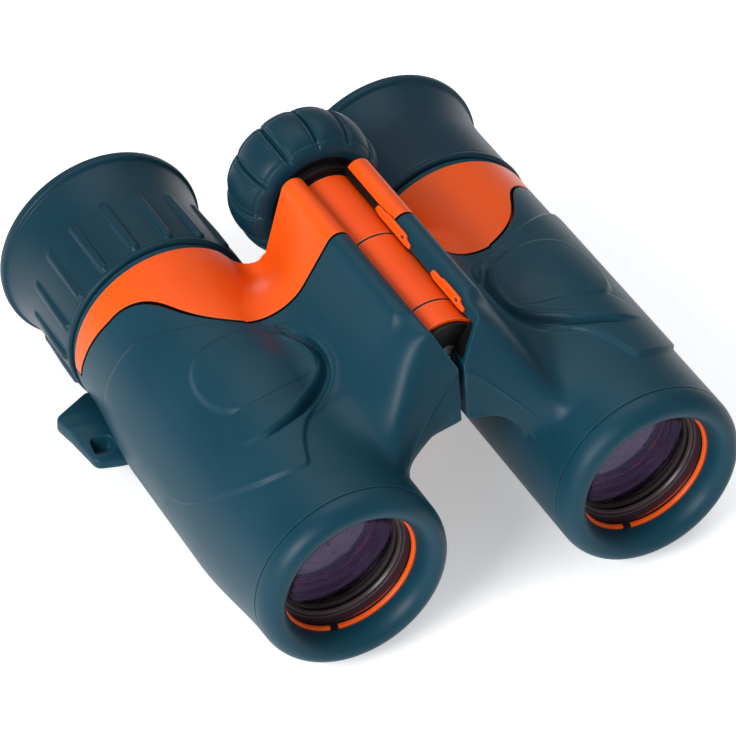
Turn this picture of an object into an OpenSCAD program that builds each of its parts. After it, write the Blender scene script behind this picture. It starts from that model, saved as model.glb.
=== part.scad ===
// Toy binoculars with roof prism barrels, a centre hinge and a centre focus knob.
// Places along the barrels are distances behind the objective rim; +Y runs to the eyecups and +Z is up.

/* [Barrels] */
// Distance between the barrel axes with the barrels folded in
pupil_distance = 56; // [55.5:0.1:58]
// Length of the soft bumper at the objective end
bumper_length = 4.2; // [3.6:0.1:5]
// Length of a half housing behind its bumper
housing_length = 68.1; // [67.5:0.1:70]
// Wall of the housing tube
housing_wall = 1.6; // [1.4:0.05:1.8]
// Outer radius of the rubber armour and the bumper
armour_r = 17.25; // [17:0.05:17.6]
// Thickness of the rubber armour over the housing tube
armour_wall = 2.05; // [1.9:0.05:2.2]
// Width of the bumper's front, from its edge to the opening before the objective
bumper_width = 4.9; // [4.6:0.05:5.2]
// Height of the stepped panel on the armour
panel_rise = 0.5; // [0.2:0.05:0.8]
// Height of the palm swell on the lower outer side
palm_swell = 2.2; // [1:0.1:2.4]

/* [Eyepieces] */
// Length of the collar between housing and eyecup
collar_length = 2.3; // [1.8:0.1:3]
// How far the collar lies inside the armour
collar_step = 0.35; // [0.1:0.05:0.7]
// How far the fixed eyepiece tube lies inside the housing tube
eyepiece_step = 0.7; // [0.5:0.05:0.9]
// Wall of the fixed eyepiece tube
eyepiece_wall = 2.9; // [2.6:0.05:3.1]
// Length of the left eyecup
eyecup_length = 24.5; // [23:0.1:26]
// How much further the dioptre eyecup stands out
dioptre_extra = 1.5; // [0.5:0.1:2.5]
// How far the eyecup grip stands out from the armour
eyecup_step = 0.15; // [0.05:0.05:0.5]
// How far the eyecup rim flares out from its grip
rim_flare = 1.95; // [1.9:0.05:2.5]
// Wall of the eyecup at its rim
rim_wall = 1.9; // [1.4:0.1:2.2]
// Depth of the cup behind the eye lens
cup_depth = 4.2; // [3.5:0.1:5]
// Number of grip ribs on the dioptre eyecup
rib_count = 17; // [12:1:20]
// Radius of a grip rib
rib_r = 0.8; // [0.5:0.05:1]
// Wall of the dioptre ring under the eyecup
dioptre_wall = 1.7; // [1.5:0.05:1.9]
// Travel of the dioptre lens cell to each side
dioptre_travel = 0.8; // [0.4:0.1:1]

/* [Hinge] */
// Height of the hinge axis above the barrel axes
hinge_height = 21.2; // [20.8:0.1:21.8]
// Outer radius of the hinge knuckles
tube_r = 7; // [6.8:0.05:7.2]
// Front end of the knuckles
tube_front = 24.1; // [23.8:0.1:24.6]
// Length of the front knuckle
front_knuckle = 5.5; // [5.4:0.1:6.5]
// Length of the middle knuckle
middle_knuckle = 19.6; // [18:0.1:20]
// Length of the rear knuckle
rear_knuckle = 18; // [17:0.1:18.4]
// Radius of the knuckle bores
hinge_bore_r = 5.05; // [4.9:0.05:5.3]
// Wall of the hollow hinge shaft
shaft_wall = 1.1; // [0.8:0.05:1.3]
// Gap between the two arms below the hinge
arm_gap = 1.2; // [1.1:0.05:1.6]
// Angle through which the left half opens
hinge_open = 52; // [40:1:52]
// Angle through which the left half folds further in
hinge_fold = 3; // [0:1:3]

/* [Focus] */
// Largest radius of the focus knob
knob_r = 13.7; // [12.5:0.1:14.2]
// Length of the focus knob
knob_length = 12.6; // [11.5:0.1:13.5]
// Number of lobes on the knob
knob_lobes = 12; // [8:1:16]
// Travel of the objective cells to each side
focus_travel = 1.2; // [0.8:0.05:1.2]
// Radius of the focus screw
screw_r = 1.6; // [1.2:0.05:1.8]
// Thickness of the finger on an objective cell
finger_width = 1.6; // [1.2:0.05:1.8]
// Length of that finger along the barrel
finger_length = 1.2; // [1:0.05:1.3]

/* [Optics] */
// Wall of the objective cell round its lens
cell_wall = 1.95; // [1.8:0.05:2.2]
// Thickness of the objective lens
lens_length = 4.4; // [4:0.1:5]
// Radius of the sphere of each objective face
lens_curve_r = 52; // [45:1:70]
// Width of the prisms
prism_width = 12; // [10:0.5:13]
// Half height of the prisms
prism_rise = 7; // [6:0.1:7.5]
// Length of the prism cage
cage_length = 23; // [21:0.1:23.5]
// Thickness of an eyepiece lens
eye_lens_length = 4; // [3:0.1:4.5]
// Radius of the sphere of each eyepiece lens face
eye_curve_r = 36; // [32:1:50]

/* [Strap lugs] */
// Reach of a strap lug beyond the armour radius
lug_reach = 3.85; // [3:0.05:5]
// Depth of a lug's middle below the barrel axis
lug_drop = 10.7; // [9.5:0.1:12]
// Front end of a lug at its root
lug_front = 54.8; // [53:0.1:55]
// Length of a lug at its root
lug_length = 16.6; // [15:0.1:16.8]
// Thickness of a lug
lug_thickness = 4; // [3:0.1:5]
// Width of the strap slot
slot_width = 3; // [2.4:0.1:3.2]
// Length of the strap slot
slot_length = 3.4; // [2.6:0.1:4]

/* [Hidden] */
$fn = 96;

// Colours
teal = "#2c5160";
dark_teal = "#22404c";
orange = "#ff6a20";
black = "#1d1d1f";
grey = "#8a8d90";
bronze = "#5a4a48";
glass = "#54455c";
prism_glass = "#a9bfc4";

// Clearances
slide_fit = 0.05;
skin_gap = 0.2;
body_gap = 0.3;
overrun = 1;

// Radii of the barrels
housing_r = armour_r - armour_wall;
aperture_r = armour_r - bumper_width;
collar_r = armour_r - collar_step;
eyepiece_r = housing_r - eyepiece_step;
eyecup_r = armour_r + eyecup_step;
rim_r = eyecup_r + rim_flare;

// Places along the barrels
housing_front = bumper_length;
housing_rear = housing_front + housing_length;
collar_rear = housing_rear + collar_length;
eyecup_front = collar_rear + body_gap;
left_rim = eyecup_front + eyecup_length;
right_rim = left_rim + dioptre_extra;
total_length = right_rim;

// Hinge places
half_pd = pupil_distance / 2;
arm_length = norm([half_pd, hinge_height]);
arm_angle = atan2(hinge_height, half_pd);
split_front = tube_front + front_knuckle;
split_rear = split_front + middle_knuckle;
tube_rear = split_rear + rear_knuckle;
knuckle_gap = 0.5;
washer_t = knuckle_gap - 2 * slide_fit;
shaft_r = hinge_bore_r - slide_fit;
shaft_bore_r = shaft_r - shaft_wall;
slider_r = shaft_bore_r - slide_fit;
right_knuckles = [
  [tube_front, split_front - knuckle_gap / 2],
  [split_rear + knuckle_gap / 2, tube_rear]];
left_knuckles = [[split_front + knuckle_gap / 2, split_rear - knuckle_gap / 2]];

// Web of an arm, across the line from hinge to barrel
web_above = 2.3;
web_below = 2.8;
web_inset = 0.4;
neck_half = 2;
web_rear = tube_rear - web_inset;
recess_r = tube_r + body_gap + slide_fit;
web_start = recess_r + skin_gap;

// Objective end
bumper_crest_r = (armour_r + aperture_r) / 2;
bumper_lip = 0.4;
bumper_step = 15;
bore_r = housing_r - housing_wall;
front_ring_length = 1.2;
front_ring_width = 1.7;
front_ring_r = bore_r - front_ring_width;
ring_rear = housing_front + front_ring_length;
cell_r = bore_r - slide_fit;
lens_r = cell_r - cell_wall;
cell_front = ring_rear + focus_travel + body_gap;
channel_wall = 0.8;
channel_length = finger_length + 2 * (focus_travel + body_gap);
right_finger_at = (right_knuckles[0][0] + right_knuckles[0][1]) / 2;
left_finger_at = left_knuckles[0][0] + channel_wall + channel_length / 2;
cell_rear = left_finger_at + finger_length / 2 + channel_wall;
lens_ring_length = 2;
lens_ring_at = cell_front + body_gap;
lens_ring_wall = 0.3;
lens_ring_r = lens_r - lens_ring_wall;
lens_at = lens_ring_at + lens_ring_length;
lens_seat = 1;
cell_bore_r = lens_r - lens_seat;
baffle_pitch = 1.6;
baffle_depth = 0.7;
baffle_start_share = 0.33;

// Prism cage and field stop
cage_front = cell_rear + focus_travel + body_gap;
cage_rear = cage_front + cage_length;
cage_wall = 1.5;
cage_aperture_r = 6.5;
prism_length = cage_length - 2 * cage_wall;
prism_fit = 0.1;
prism_front_shares = [[0, -1], [0, 1], [0.38, 1], [0.66, -1]];
prism_rear_shares = [[0.43, 1], [1, 1], [1, -1], [0.71, -1]];
stop_length = 1.5;
stop_r = 6.5;
plug_front = cage_rear + stop_length;

// Eyepiece end
cup_floor = 1.4;
eyepiece_rear = left_rim - cup_depth - cup_floor;
eye_cell_r = eyepiece_r - eyepiece_wall - slide_fit;
eye_cell_wall = 1.6;
eye_cell_bore_r = eye_cell_r - eye_cell_wall;
eye_lens_r = eye_cell_bore_r - slide_fit;
lens_steps = 8;
eye_lip = 0.9;
eye_lip_width = 1.3;
eye_lip_r = eye_lens_r - eye_lip_width;
eye_cell_front = plug_front + dioptre_travel + body_gap;
eye_cell_rear = eyepiece_rear - dioptre_travel - body_gap;
field_lens_at = eye_cell_front + eye_lip;
eye_lens_at = eye_cell_rear - eye_lip - eye_lens_length;
spacer_wall = 1.4;
pin_r = 0.8;
pin_at = collar_rear + (eyepiece_rear - collar_rear) / 2;
pin_reach = 0.8;
pin_end_r = eyepiece_r + pin_reach;
dioptre_bore_r = eyepiece_r + slide_fit;
dioptre_r = dioptre_bore_r + dioptre_wall;
dioptre_groove_r = pin_end_r + body_gap;
dioptre_front = eyecup_front;
dioptre_rear = eyepiece_rear - body_gap;
groove_half = pin_r + dioptre_travel + body_gap;
cup_opening_lip = 0.45;
cup_opening_r = eye_cell_bore_r - cup_opening_lip;
flare_start_share = 0.58;
flare_end_share = 0.9;
flare_steps = 6;
rib_start_share = 0.065;
rib_end_share = 0.55;
rib_phase = 13.6;

// Knob places
neck_length = 2;
neck_r = 8.3;
neck_rear = tube_rear + slide_fit + neck_length;
knob_front = neck_rear + body_gap;
knob_rear = knob_front + knob_length;
knob_core_r = 9.3;
knob_floor = 2.2;
knob_cap_t = 1.3;
hub_rear = knob_rear - knob_cap_t;
groove_width = 0.9;
groove_depth = 0.7;
knob_steps = 14;
knob_power = 0.75;
shaft_rear = hub_rear - knob_floor - body_gap;
slider_flange = 0.45;
slider_rear_share = 0.75;
slider_front = right_finger_at - finger_length / 2 - slide_fit - slider_flange;
slider_rear = split_rear + rear_knuckle * slider_rear_share;
slider_groove_r = 2.6;
screw_front_share = 0.6;
screw_front = mix(slider_front, slider_rear, screw_front_share);
key_width = 1.2;
key_reach = 0.8;
key_length = 5;
key_at = split_rear + key_length;

// Front cap of the hinge
cap_t = 0.9;
cap_r = 6.4;
cap_front = tube_front - cap_t;
cap_screw_r = 1.1;
cap_head_r = 2.1;
cap_head_t = 0.5;

// Strap lug
lug_tip_x = half_pd + armour_r + lug_reach;
lug_root_share = 0.9;
lug_root_x = half_pd + armour_r * lug_root_share;
lug_tip_front_share = 0.085;
lug_tip_rear_share = 0.845;
lug_crease_share = 0.61;
lug_slope_share = 0.55;
slot_at_share = 0.29;
slot_edge = 1.6;

// Arm outline, across the barrels: crest, outer side, saddle to the barrel, belly and inner walls
barrel_axis = [half_pd, 0];
crest_r = 2.3;
crest_x = 6.3;
crest_rise = 6.3;
crest_centre = [crest_x, hinge_height + crest_rise];
v_lean = 29;
side_lean = 13;
belly_ease = 22.13;
belly_lean = arm_angle - belly_ease;
belly_drop = 1.9;
belly_start = [arm_gap / 2, hinge_height - tube_r - belly_drop];
belly_fillet_r = 5;
saddle_front_r = 9.5;
saddle_rear_r = 2.8;
saddle_run = 22.3;
saddle_start = housing_rear - saddle_run;
arm_rear = tube_rear + body_gap;
v_edge = polar(crest_centre, crest_r, 180 - v_lean);
v_apex = [arm_gap / 2, v_edge[1] - (v_edge[0] - arm_gap / 2) / tan(v_lean)];

// Skin rows: the arm grows out of the barrel over the sweep, later towards the crest
armour_front = housing_front + slide_fit;
lip_rear = cap_front - body_gap;
lip_inset = 1.2;
lip_slant = 6.7;
sweep_length = 4.5;
crest_fade = lip_rear - lip_inset;
belly_fade = crest_fade - lip_slant;
fade_front = belly_fade - sweep_length;
fade_rear = tube_front;
fade_power = 2.1;
edge_power = 1.6;
plain_shares = [0, 0.5];
growth_shares = [0, 0.3, 0.5, 0.64, 0.76, 0.88, 1];
middle_shares = [0, 0.3, 0.6, 0.9];
rear_shares = [0, 0.25, 0.45, 0.62, 0.8, 1];

// Wave edge between armour and cowl, and the notch behind the arm
wave_depth = 21.7;
wave_crest = 5;
wave_low = housing_rear - wave_depth;
wave_high = housing_rear - wave_crest;
wave_tip_rise = 2.2;
wave_low_angle = 112;
wave_high_angle = 20;
tip_angle = -8;
wave_steps = 12;
wave_gap = 0.25;
notch_share = 0.4;
notch_x = half_pd - armour_r * (1 - notch_share);

// Palm swell and panel
swell_angle = -55;
swell_spread = 95;
swell_front = 3;
swell_full = 26;
swell_tail = 19;
swell_inset = 2.3;
swell_rear = housing_rear - swell_inset;
swell_fall = swell_rear - swell_tail;
panel_front = 20;
panel_inset = 12.8;
panel_rear = housing_rear - panel_inset;
panel_ramp = 1.2;
panel_angle = 40;
panel_spread = 75;
panel_places = [panel_front, panel_front + panel_ramp];
panel_shares = [for (at = panel_places) (at - belly_fade) / (fade_rear - belly_fade)];

// Steps of the outline's arcs
crest_steps = 5;
saddle_steps = 6;
barrel_steps = 26;
belly_steps = 4;
wall_steps = 4;
v_steps = 3;
saddle_first = crest_steps + 1;
barrel_first = saddle_first + saddle_steps + 1;
belly_first = barrel_first + barrel_steps - 1;
wall_first = belly_first + belly_steps + 1;
apex_index = wall_first + wall_steps;
outline_count = apex_index + v_steps;
arm_count = outline_count - barrel_steps + 1;

function mix(a, b, k) = a + (b - a) * k;
function clamped(v) = max(0, min(1, v));
function smooth(v) = let(k = clamped(v)) k * k * (3 - 2 * k);
function polar(c, r, a) = c + r * [cos(a), sin(a)];
function arc(c, r, a0, a1, n) = [for (i = [0:n]) polar(c, r, mix(a0, a1, i / n))];
function inner_arc(c, r, a0, a1, n) = [for (i = [1:n - 1]) polar(c, r, mix(a0, a1, i / n))];
function angle_of(v) = atan2(v[1], v[0]);

// Centre of a fillet between a straight side and the barrel circle
function fillet_centre(start, normal, along, r) =
  let(q = start + r * normal - barrel_axis)
  let(b = q * along)
  let(reach = armour_r + r)
  barrel_axis + q + along * (-b - sqrt(b * b - q * q + reach * reach));

function saddle_r(s) = mix(saddle_front_r, saddle_rear_r,
  smooth((s - saddle_start) / (arm_rear - saddle_start)));
function saddle_centre(s) = fillet_centre(
  polar(crest_centre, crest_r, side_lean),
  [cos(side_lean), sin(side_lean)], [sin(side_lean), -cos(side_lean)], saddle_r(s));
belly_centre = fillet_centre(
  belly_start, [-sin(belly_lean), -cos(belly_lean)], [cos(belly_lean), -sin(belly_lean)], belly_fillet_r);
belly_angle = angle_of(belly_centre - barrel_axis);
function saddle_angle(s) = angle_of(saddle_centre(s) - barrel_axis);

// The rear web stays under the valley of the saddle by a wall
saddle_wall = 0.6;
arm_normal = [sin(arm_angle), cos(arm_angle)];
valley_height = (saddle_centre(arm_rear) - [0, hinge_height]) * arm_normal - saddle_rear_r;
web_above_rear = valley_height - saddle_wall - skin_gap;
rear_neck_above = web_above_rear - web_inset / 2;

// Outline of arm and barrel at a place along the barrel, clockwise from the crest
function full_outline(s) = concat(
  arc(crest_centre, crest_r, 180 - v_lean, side_lean, crest_steps),
  arc(saddle_centre(s), saddle_r(s), 180 + side_lean, 180 + saddle_angle(s), saddle_steps),
  inner_arc(barrel_axis, armour_r, saddle_angle(s), belly_angle - 360, barrel_steps),
  arc(belly_centre, belly_fillet_r, belly_angle - 180, 90 - belly_lean, belly_steps),
  [for (i = [0:wall_steps]) mix(belly_start, v_apex, i / wall_steps)],
  [for (i = [1:v_steps - 1]) mix(v_apex, v_edge, i / v_steps)]);

function on_barrel(j) = j >= barrel_first && j < belly_first;
function arm_order(j) = j >= belly_first ? j - belly_first : j + outline_count - belly_first;

// Angle round the barrel that an outline point keeps where there is no arm
function round_angle(j, s) = on_barrel(j)
  ? mix(saddle_angle(s), belly_angle - 360, (j - barrel_first + 1) / barrel_steps)
  : mix(belly_angle, saddle_angle(s), arm_order(j) / (arm_count - 1));

function palm_rise(a, s) = palm_swell
  * pow(cos(90 * clamped(abs(a - swell_angle) / swell_spread)), 2)
  * smooth((s - swell_front) / (swell_full - swell_front))
  * (1 - smooth((s - swell_fall) / (swell_rear - swell_fall)));
function panel_height(a, s) = panel_rise
  * smooth(2 - 2 * abs(a - panel_angle) / panel_spread)
  * smooth((s - panel_front) / panel_ramp)
  * (1 - smooth((s - panel_rear) / panel_ramp));

// Place where an outline point has its full height
function fade_end(j) = on_barrel(j) ? belly_fade
  : mix(belly_fade, crest_fade, pow(clamped(
    (full_outline(fade_rear)[j][1] - belly_start[1]) / (crest_centre[1] - belly_start[1])), edge_power));

// Point j of the outer skin at a place along the barrel, with the arm grown to a share of its height
function skin_point(j, s, grown) =
  let(a = round_angle(j, s))
  let(round_r = armour_r + (on_barrel(j) ? max(palm_rise(a, s), panel_height(a, s)) : 0))
  let(flat = on_barrel(j)
    ? polar(barrel_axis, round_r, a)
    : mix(polar(barrel_axis, armour_r, a), full_outline(s)[j], grown))
  [flat[0], s, flat[1]];

all_points = [for (j = [0:outline_count - 1]) j];
middle_rows = [for (k = middle_shares) [for (j = all_points) skin_point(j, mix(fade_rear, wave_low, k), 1)]];
rear_rows = concat(
  [for (k = rear_shares) [for (j = all_points) skin_point(j, mix(wave_low, arm_rear, k), 1)]],
  [[for (j = all_points) skin_point(j, housing_rear, 0)]]);
armour_rows = concat(
  [for (k = plain_shares) [for (j = all_points) skin_point(j, mix(armour_front, fade_front, k), 0)]],
  [for (k = growth_shares)
    [for (j = all_points) skin_point(j, mix(fade_front, fade_end(j), k), pow(k, fade_power))]],
  [for (k = panel_shares) [for (j = all_points) skin_point(j, mix(fade_end(j), fade_rear, k), 1)]],
  middle_rows, rear_rows);
cowl_rows = concat(
  [[for (j = all_points) skin_point(j, fade_rear, 0)]],
  [middle_rows[len(middle_rows) - 1]], rear_rows);

// Wave edge seen from above: place and height round the barrel
function wave_at(a) = mix(wave_high, wave_low,
    smooth((a - wave_high_angle) / (wave_low_angle - wave_high_angle)))
  + wave_tip_rise * clamped((wave_high_angle - a) / (wave_high_angle - tip_angle));
tip_z = armour_r * sin(tip_angle);
outer_x = half_pd + armour_r + palm_swell;
wave_line = [for (i = [0:wave_steps]) let(a = mix(wave_low_angle, 0, i / wave_steps))
  [half_pd + armour_r * cos(a), wave_at(a)]];

// Placing helpers
module in_frame() translate([0, -total_length / 2, rim_r]) children();
module on_side(side) {
  if (side < 0) mirror([1, 0, 0]) children();
  else children();
}
module right_side() in_frame() on_side(-1) children();
module left_side() in_frame() on_side(1) children();
module at_barrel() translate([half_pd, 0, 0]) children();
module at_hinge() translate([0, 0, hinge_height]) children();
module along_arm() at_hinge() rotate([0, arm_angle, 0]) children();

// Solids turned about an axis along the barrel; profile points are radius and place
module turned(profile) rotate([-90, 0, 0]) rotate_extrude() polygon(profile);
module rod(r, s0, s1) translate([0, s0, 0]) rotate([-90, 0, 0]) cylinder(r = r, h = s1 - s0);
module ring(r_in, r_out, s0, s1) turned([[r_in, s0], [r_out, s0], [r_out, s1], [r_in, s1]]);

// Box along the arm line: t runs from hinge to barrel, s along the barrel, n across
module arm_box(t0, t1, s0, s1, n0, n1) along_arm() translate([t0, s0, n0]) cube([t1 - t0, s1 - s0, n1 - n0]);

// Closed skin through rows of points; the first and last rows lie round the barrel axis
module loft(rows) {
  n = len(rows[0]);
  last = len(rows) - 1;
  hub = len(rows) * n;
  points = concat([for (row = rows) each row], [for (row = [rows[0], rows[last]]) [half_pd, row[0][1], 0]]);
  sides = [for (r = [0:last - 1]) for (j = [0:n - 1]) let(m = (j + 1) % n)
    each [[r * n + j, (r + 1) * n + j, (r + 1) * n + m], [r * n + j, (r + 1) * n + m, r * n + m]]];
  ends = [for (j = [0:n - 1]) let(m = (j + 1) % n)
    each [[hub, j, m], [hub + 1, last * n + m, last * n + j]]];
  polyhedron(points, concat(sides, ends), 1);
}

// Space behind the wave edge and above the tip, moved back by shift
module cowl_space(shift) translate([0, 0, tip_z + shift]) linear_extrude(2 * hinge_height) polygon(concat(
  [[-overrun, wave_low + shift]],
  [for (p = wave_line) [p[0], p[1] + shift]],
  [[outer_x, wave_at(0) + shift], [outer_x, housing_rear + overrun], [-overrun, housing_rear + overrun]]));

// Space for the knob behind the arm
module arm_notch() translate([0, 0, -armour_r]) linear_extrude(armour_r + 2 * hinge_height) polygon([
  [-overrun, arm_rear], [half_pd - armour_r, arm_rear], [notch_x, housing_rear],
  [notch_x, housing_rear + overrun], [-overrun, housing_rear + overrun]]);

// Space that the housing, the hinge knuckles and the strap lug need inside the skins
module skin_cavity() {
  at_barrel() rod(housing_r + skin_gap, -overrun, housing_rear + overrun);
  at_hinge() rod(recess_r, lip_rear, housing_rear + overrun);
  arm_box(0, arm_length, tube_front - skin_gap, split_rear, -web_below - skin_gap, web_above + skin_gap);
  arm_box(0, arm_length, split_rear - overrun, web_rear + skin_gap,
    -web_below - skin_gap, web_above_rear + skin_gap);
  lug_block(skin_gap / 2);
}

module lug_block(grow) {
  tip_front = lug_front + lug_length * lug_tip_front_share;
  tip_rear = lug_front + lug_length * lug_tip_rear_share;
  translate([0, 0, -lug_drop - lug_thickness / 2 - grow]) linear_extrude(lug_thickness + 2 * grow) polygon([
    [half_pd, lug_front - grow], [lug_root_x, lug_front - grow], [lug_tip_x, tip_front - grow],
    [lug_tip_x, tip_rear + grow], [lug_root_x, lug_front + lug_length + grow],
    [half_pd, lug_front + lug_length + grow]]);
}

module housing(knuckles, finger_at) {
  channel = finger_width / 2 + body_gap;
  difference() {
    union() {
      at_barrel() rod(housing_r, housing_front, housing_rear);
      arm_box(web_start, arm_length, tube_front + web_inset, split_rear, -web_below, web_above);
      arm_box(web_start, arm_length, split_rear - web_inset, web_rear, web_inset - web_below, web_above_rear);
      for (k = knuckles) {
        neck_above = k[0] > split_rear ? rear_neck_above : neck_half;
        at_hinge() rod(tube_r, k[0], k[1]);
        arm_box(0, arm_length - bore_r, k[0] + web_inset, k[1] - web_inset, -neck_half, neck_above);
      }
    }
    at_barrel() rod(bore_r, housing_front - overrun, housing_rear + overrun);
    at_hinge() rod(hinge_bore_r, tube_front - overrun, tube_rear + overrun);
    arm_box(-overrun, arm_length, finger_at - channel_length / 2, finger_at + channel_length / 2,
      -channel, channel);
  }
}

module armour() difference() {
  loft(armour_rows);
  cowl_space(-wave_gap / 2);
  arm_notch();
  skin_cavity();
}

module cowl() difference() {
  intersection() {
    loft(cowl_rows);
    cowl_space(wave_gap / 2);
  }
  arm_notch();
  skin_cavity();
}

// Soft ring with a round front, hollowed to the aperture
module bumper() at_barrel() turned(concat(
  [[aperture_r, bumper_length], [armour_r, bumper_length]],
  [for (a = [0:bumper_step:90])
    [mix(bumper_crest_r, armour_r, cos(a)), (bumper_length - bumper_lip) * (1 - sin(a))]],
  [for (a = [90 - bumper_step:-bumper_step:0])
    [mix(bumper_crest_r, aperture_r, cos(a)), (bumper_length - bumper_lip) * (1 - sin(a))]]));

module front_ring() at_barrel() ring(front_ring_r, bore_r - slide_fit, housing_front, ring_rear);

module strap_lug() {
  slot_s = lug_front + lug_length * slot_at_share;
  crease = lug_front + lug_length * lug_crease_share;
  difference() {
    lug_block(0);
    at_barrel() rod(housing_r, lug_front - overrun, lug_front + lug_length + overrun);
    translate([lug_tip_x - slot_edge - slot_width, slot_s - slot_length / 2, -lug_drop - lug_thickness])
      cube([slot_width, slot_length, 2 * lug_thickness]);
    translate([half_pd, 0, -lug_drop]) rotate([90, 0, 90]) linear_extrude(lug_tip_x) polygon([
      [lug_front - overrun, lug_thickness / 2 * (1 - lug_slope_share) - overrun * lug_slope_share],
      [crease, lug_thickness / 2], [crease, lug_thickness], [lug_front - overrun, lug_thickness]]);
  }
}

module prism_cage() at_barrel() difference() {
  rod(bore_r - slide_fit, cage_front, cage_rear);
  rod(cage_aperture_r, cage_front - overrun, cage_rear + overrun);
  translate([-prism_width / 2 - prism_fit, cage_front + cage_wall - prism_fit, -prism_rise - prism_fit])
    cube([prism_width + 2 * prism_fit, prism_length + 2 * prism_fit, 2 * (prism_rise + prism_fit)]);
}

module prism(shares) translate([-prism_width / 2, cage_front + cage_wall, 0]) rotate([90, 0, 90])
  linear_extrude(prism_width) polygon([for (p = shares) [p[0] * prism_length, p[1] * prism_rise]]);

module prisms() at_barrel() {
  prism(prism_front_shares);
  prism(prism_rear_shares);
}

module field_stop() at_barrel() ring(stop_r, bore_r - slide_fit, cage_rear, plug_front);

// Fixed tube that plugs into the housing and carries collar and eyecup
module eyepiece_barrel() at_barrel() difference() {
  turned([
    [eyepiece_r - eyepiece_wall, plug_front], [bore_r - slide_fit, plug_front],
    [bore_r - slide_fit, housing_rear], [collar_r, housing_rear], [collar_r, collar_rear],
    [eyepiece_r, collar_rear], [eyepiece_r, eyepiece_rear], [eyepiece_r - eyepiece_wall, eyepiece_rear]]);
  translate([0, pin_at - groove_half, -pin_r - body_gap])
    cube([eyepiece_r + overrun, 2 * groove_half, 2 * (pin_r + body_gap)]);
}

// Rubber cup: grip, flare and rim outside, floor with the eye opening inside
module eyecup_body(inner_r, rim) {
  span = rim - eyecup_front;
  flare_a = eyecup_front + span * flare_start_share;
  flare_b = eyecup_front + span * flare_end_share;
  floor_rear = rim - cup_depth;
  turned(concat(
    [[inner_r, eyecup_front], [eyecup_r, eyecup_front]],
    [for (i = [0:flare_steps]) let(k = i / flare_steps)
      [mix(eyecup_r, rim_r, smooth(k)), mix(flare_a, flare_b, k)]],
    [[rim_r, rim - rim_wall / 2], [rim_r - rim_wall / 4, rim], [rim_r - rim_wall, rim],
     [inner_r, floor_rear], [cup_opening_r, floor_rear],
     [cup_opening_r, floor_rear - cup_floor], [inner_r, floor_rear - cup_floor]]));
}

module left_cup() at_barrel() eyecup_body(eyepiece_r, left_rim);

module right_cup() at_barrel() {
  rib_a = mix(eyecup_front, right_rim, rib_start_share);
  rib_b = mix(eyecup_front, right_rim, rib_end_share);
  union() {
    eyecup_body(dioptre_r, right_rim);
    for (i = [0:rib_count - 1]) rotate([0, i * 360 / rib_count - rib_phase, 0]) translate([eyecup_r, 0, 0]) {
      rod(rib_r, rib_a, rib_b);
      translate([0, rib_a, 0]) sphere(rib_r);
    }
  }
}

module dioptre_sleeve() at_barrel() turned([
  [dioptre_bore_r, dioptre_front], [dioptre_r, dioptre_front], [dioptre_r, dioptre_rear],
  [dioptre_bore_r, dioptre_rear], [dioptre_bore_r, pin_at + groove_half],
  [dioptre_groove_r, pin_at + groove_half], [dioptre_groove_r, pin_at - groove_half],
  [dioptre_bore_r, pin_at - groove_half]]);

// Lens cell of the eyepiece; the dioptre one has a pin
module eye_cell(pinned) at_barrel() {
  union() {
    turned([
      [eye_lip_r, eye_cell_front], [eye_cell_r, eye_cell_front], [eye_cell_r, eye_cell_rear],
      [eye_lip_r, eye_cell_rear], [eye_lip_r, eye_cell_rear - eye_lip],
      [eye_cell_bore_r, eye_cell_rear - eye_lip], [eye_cell_bore_r, eye_cell_front + eye_lip],
      [eye_lip_r, eye_cell_front + eye_lip]]);
    if (pinned) translate([eye_cell_r - eye_cell_wall / 2, pin_at, 0]) rotate([0, 90, 0])
      cylinder(r = pin_r, h = pin_end_r - eye_cell_r + eye_cell_wall / 2);
  }
}

// Lens with two round faces of one curve radius
function sag(r, curve_r) = curve_r - sqrt(curve_r * curve_r - r * r);
module lens(r, s0, s1, curve_r) at_barrel() turned(concat(
  [for (i = [0:lens_steps]) [r * i / lens_steps, s0 + sag(r * i / lens_steps, curve_r)]],
  [for (i = [lens_steps:-1:0]) [r * i / lens_steps, s1 - sag(r * i / lens_steps, curve_r)]]));

module eye_lens() lens(eye_lens_r, eye_lens_at, eye_lens_at + eye_lens_length, eye_curve_r);
module field_lens() lens(eye_lens_r, field_lens_at, field_lens_at + eye_lens_length, eye_curve_r);
module lens_spacer() at_barrel()
  ring(eye_lens_r - spacer_wall, eye_lens_r, field_lens_at + eye_lens_length, eye_lens_at);

// Sliding objective cell with a ribbed inside and a finger to the focus slider
module objective_cell(finger_at) {
  seat = lens_at + lens_length;
  ribs = floor((cell_rear - seat - 2 * baffle_pitch) / baffle_pitch);
  tip = slider_groove_r + body_gap;
  union() {
    at_barrel() turned(concat(
      [[lens_r + slide_fit, cell_front], [cell_r, cell_front], [cell_r, cell_rear], [cell_bore_r, cell_rear]],
      [for (i = [ribs:-1:1]) each [
        [cell_bore_r, seat + (i + 1) * baffle_pitch],
        [cell_bore_r + baffle_depth, seat + (i + 1) * baffle_pitch],
        [cell_bore_r, seat + (i + baffle_start_share) * baffle_pitch]]],
      [[cell_bore_r, seat], [lens_r + slide_fit, seat]]));
    arm_box(tip, arm_length - (cell_bore_r + cell_r) / 2, finger_at - finger_length / 2,
      finger_at + finger_length / 2, -finger_width / 2, finger_width / 2);
  }
}

module objective_lens() lens(lens_r, lens_at, lens_at + lens_length, lens_curve_r);
module lens_ring() at_barrel() turned([
  [lens_ring_r, lens_ring_at], [lens_r, lens_ring_at], [lens_r, lens_at], [cell_bore_r, lens_at]]);

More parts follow.
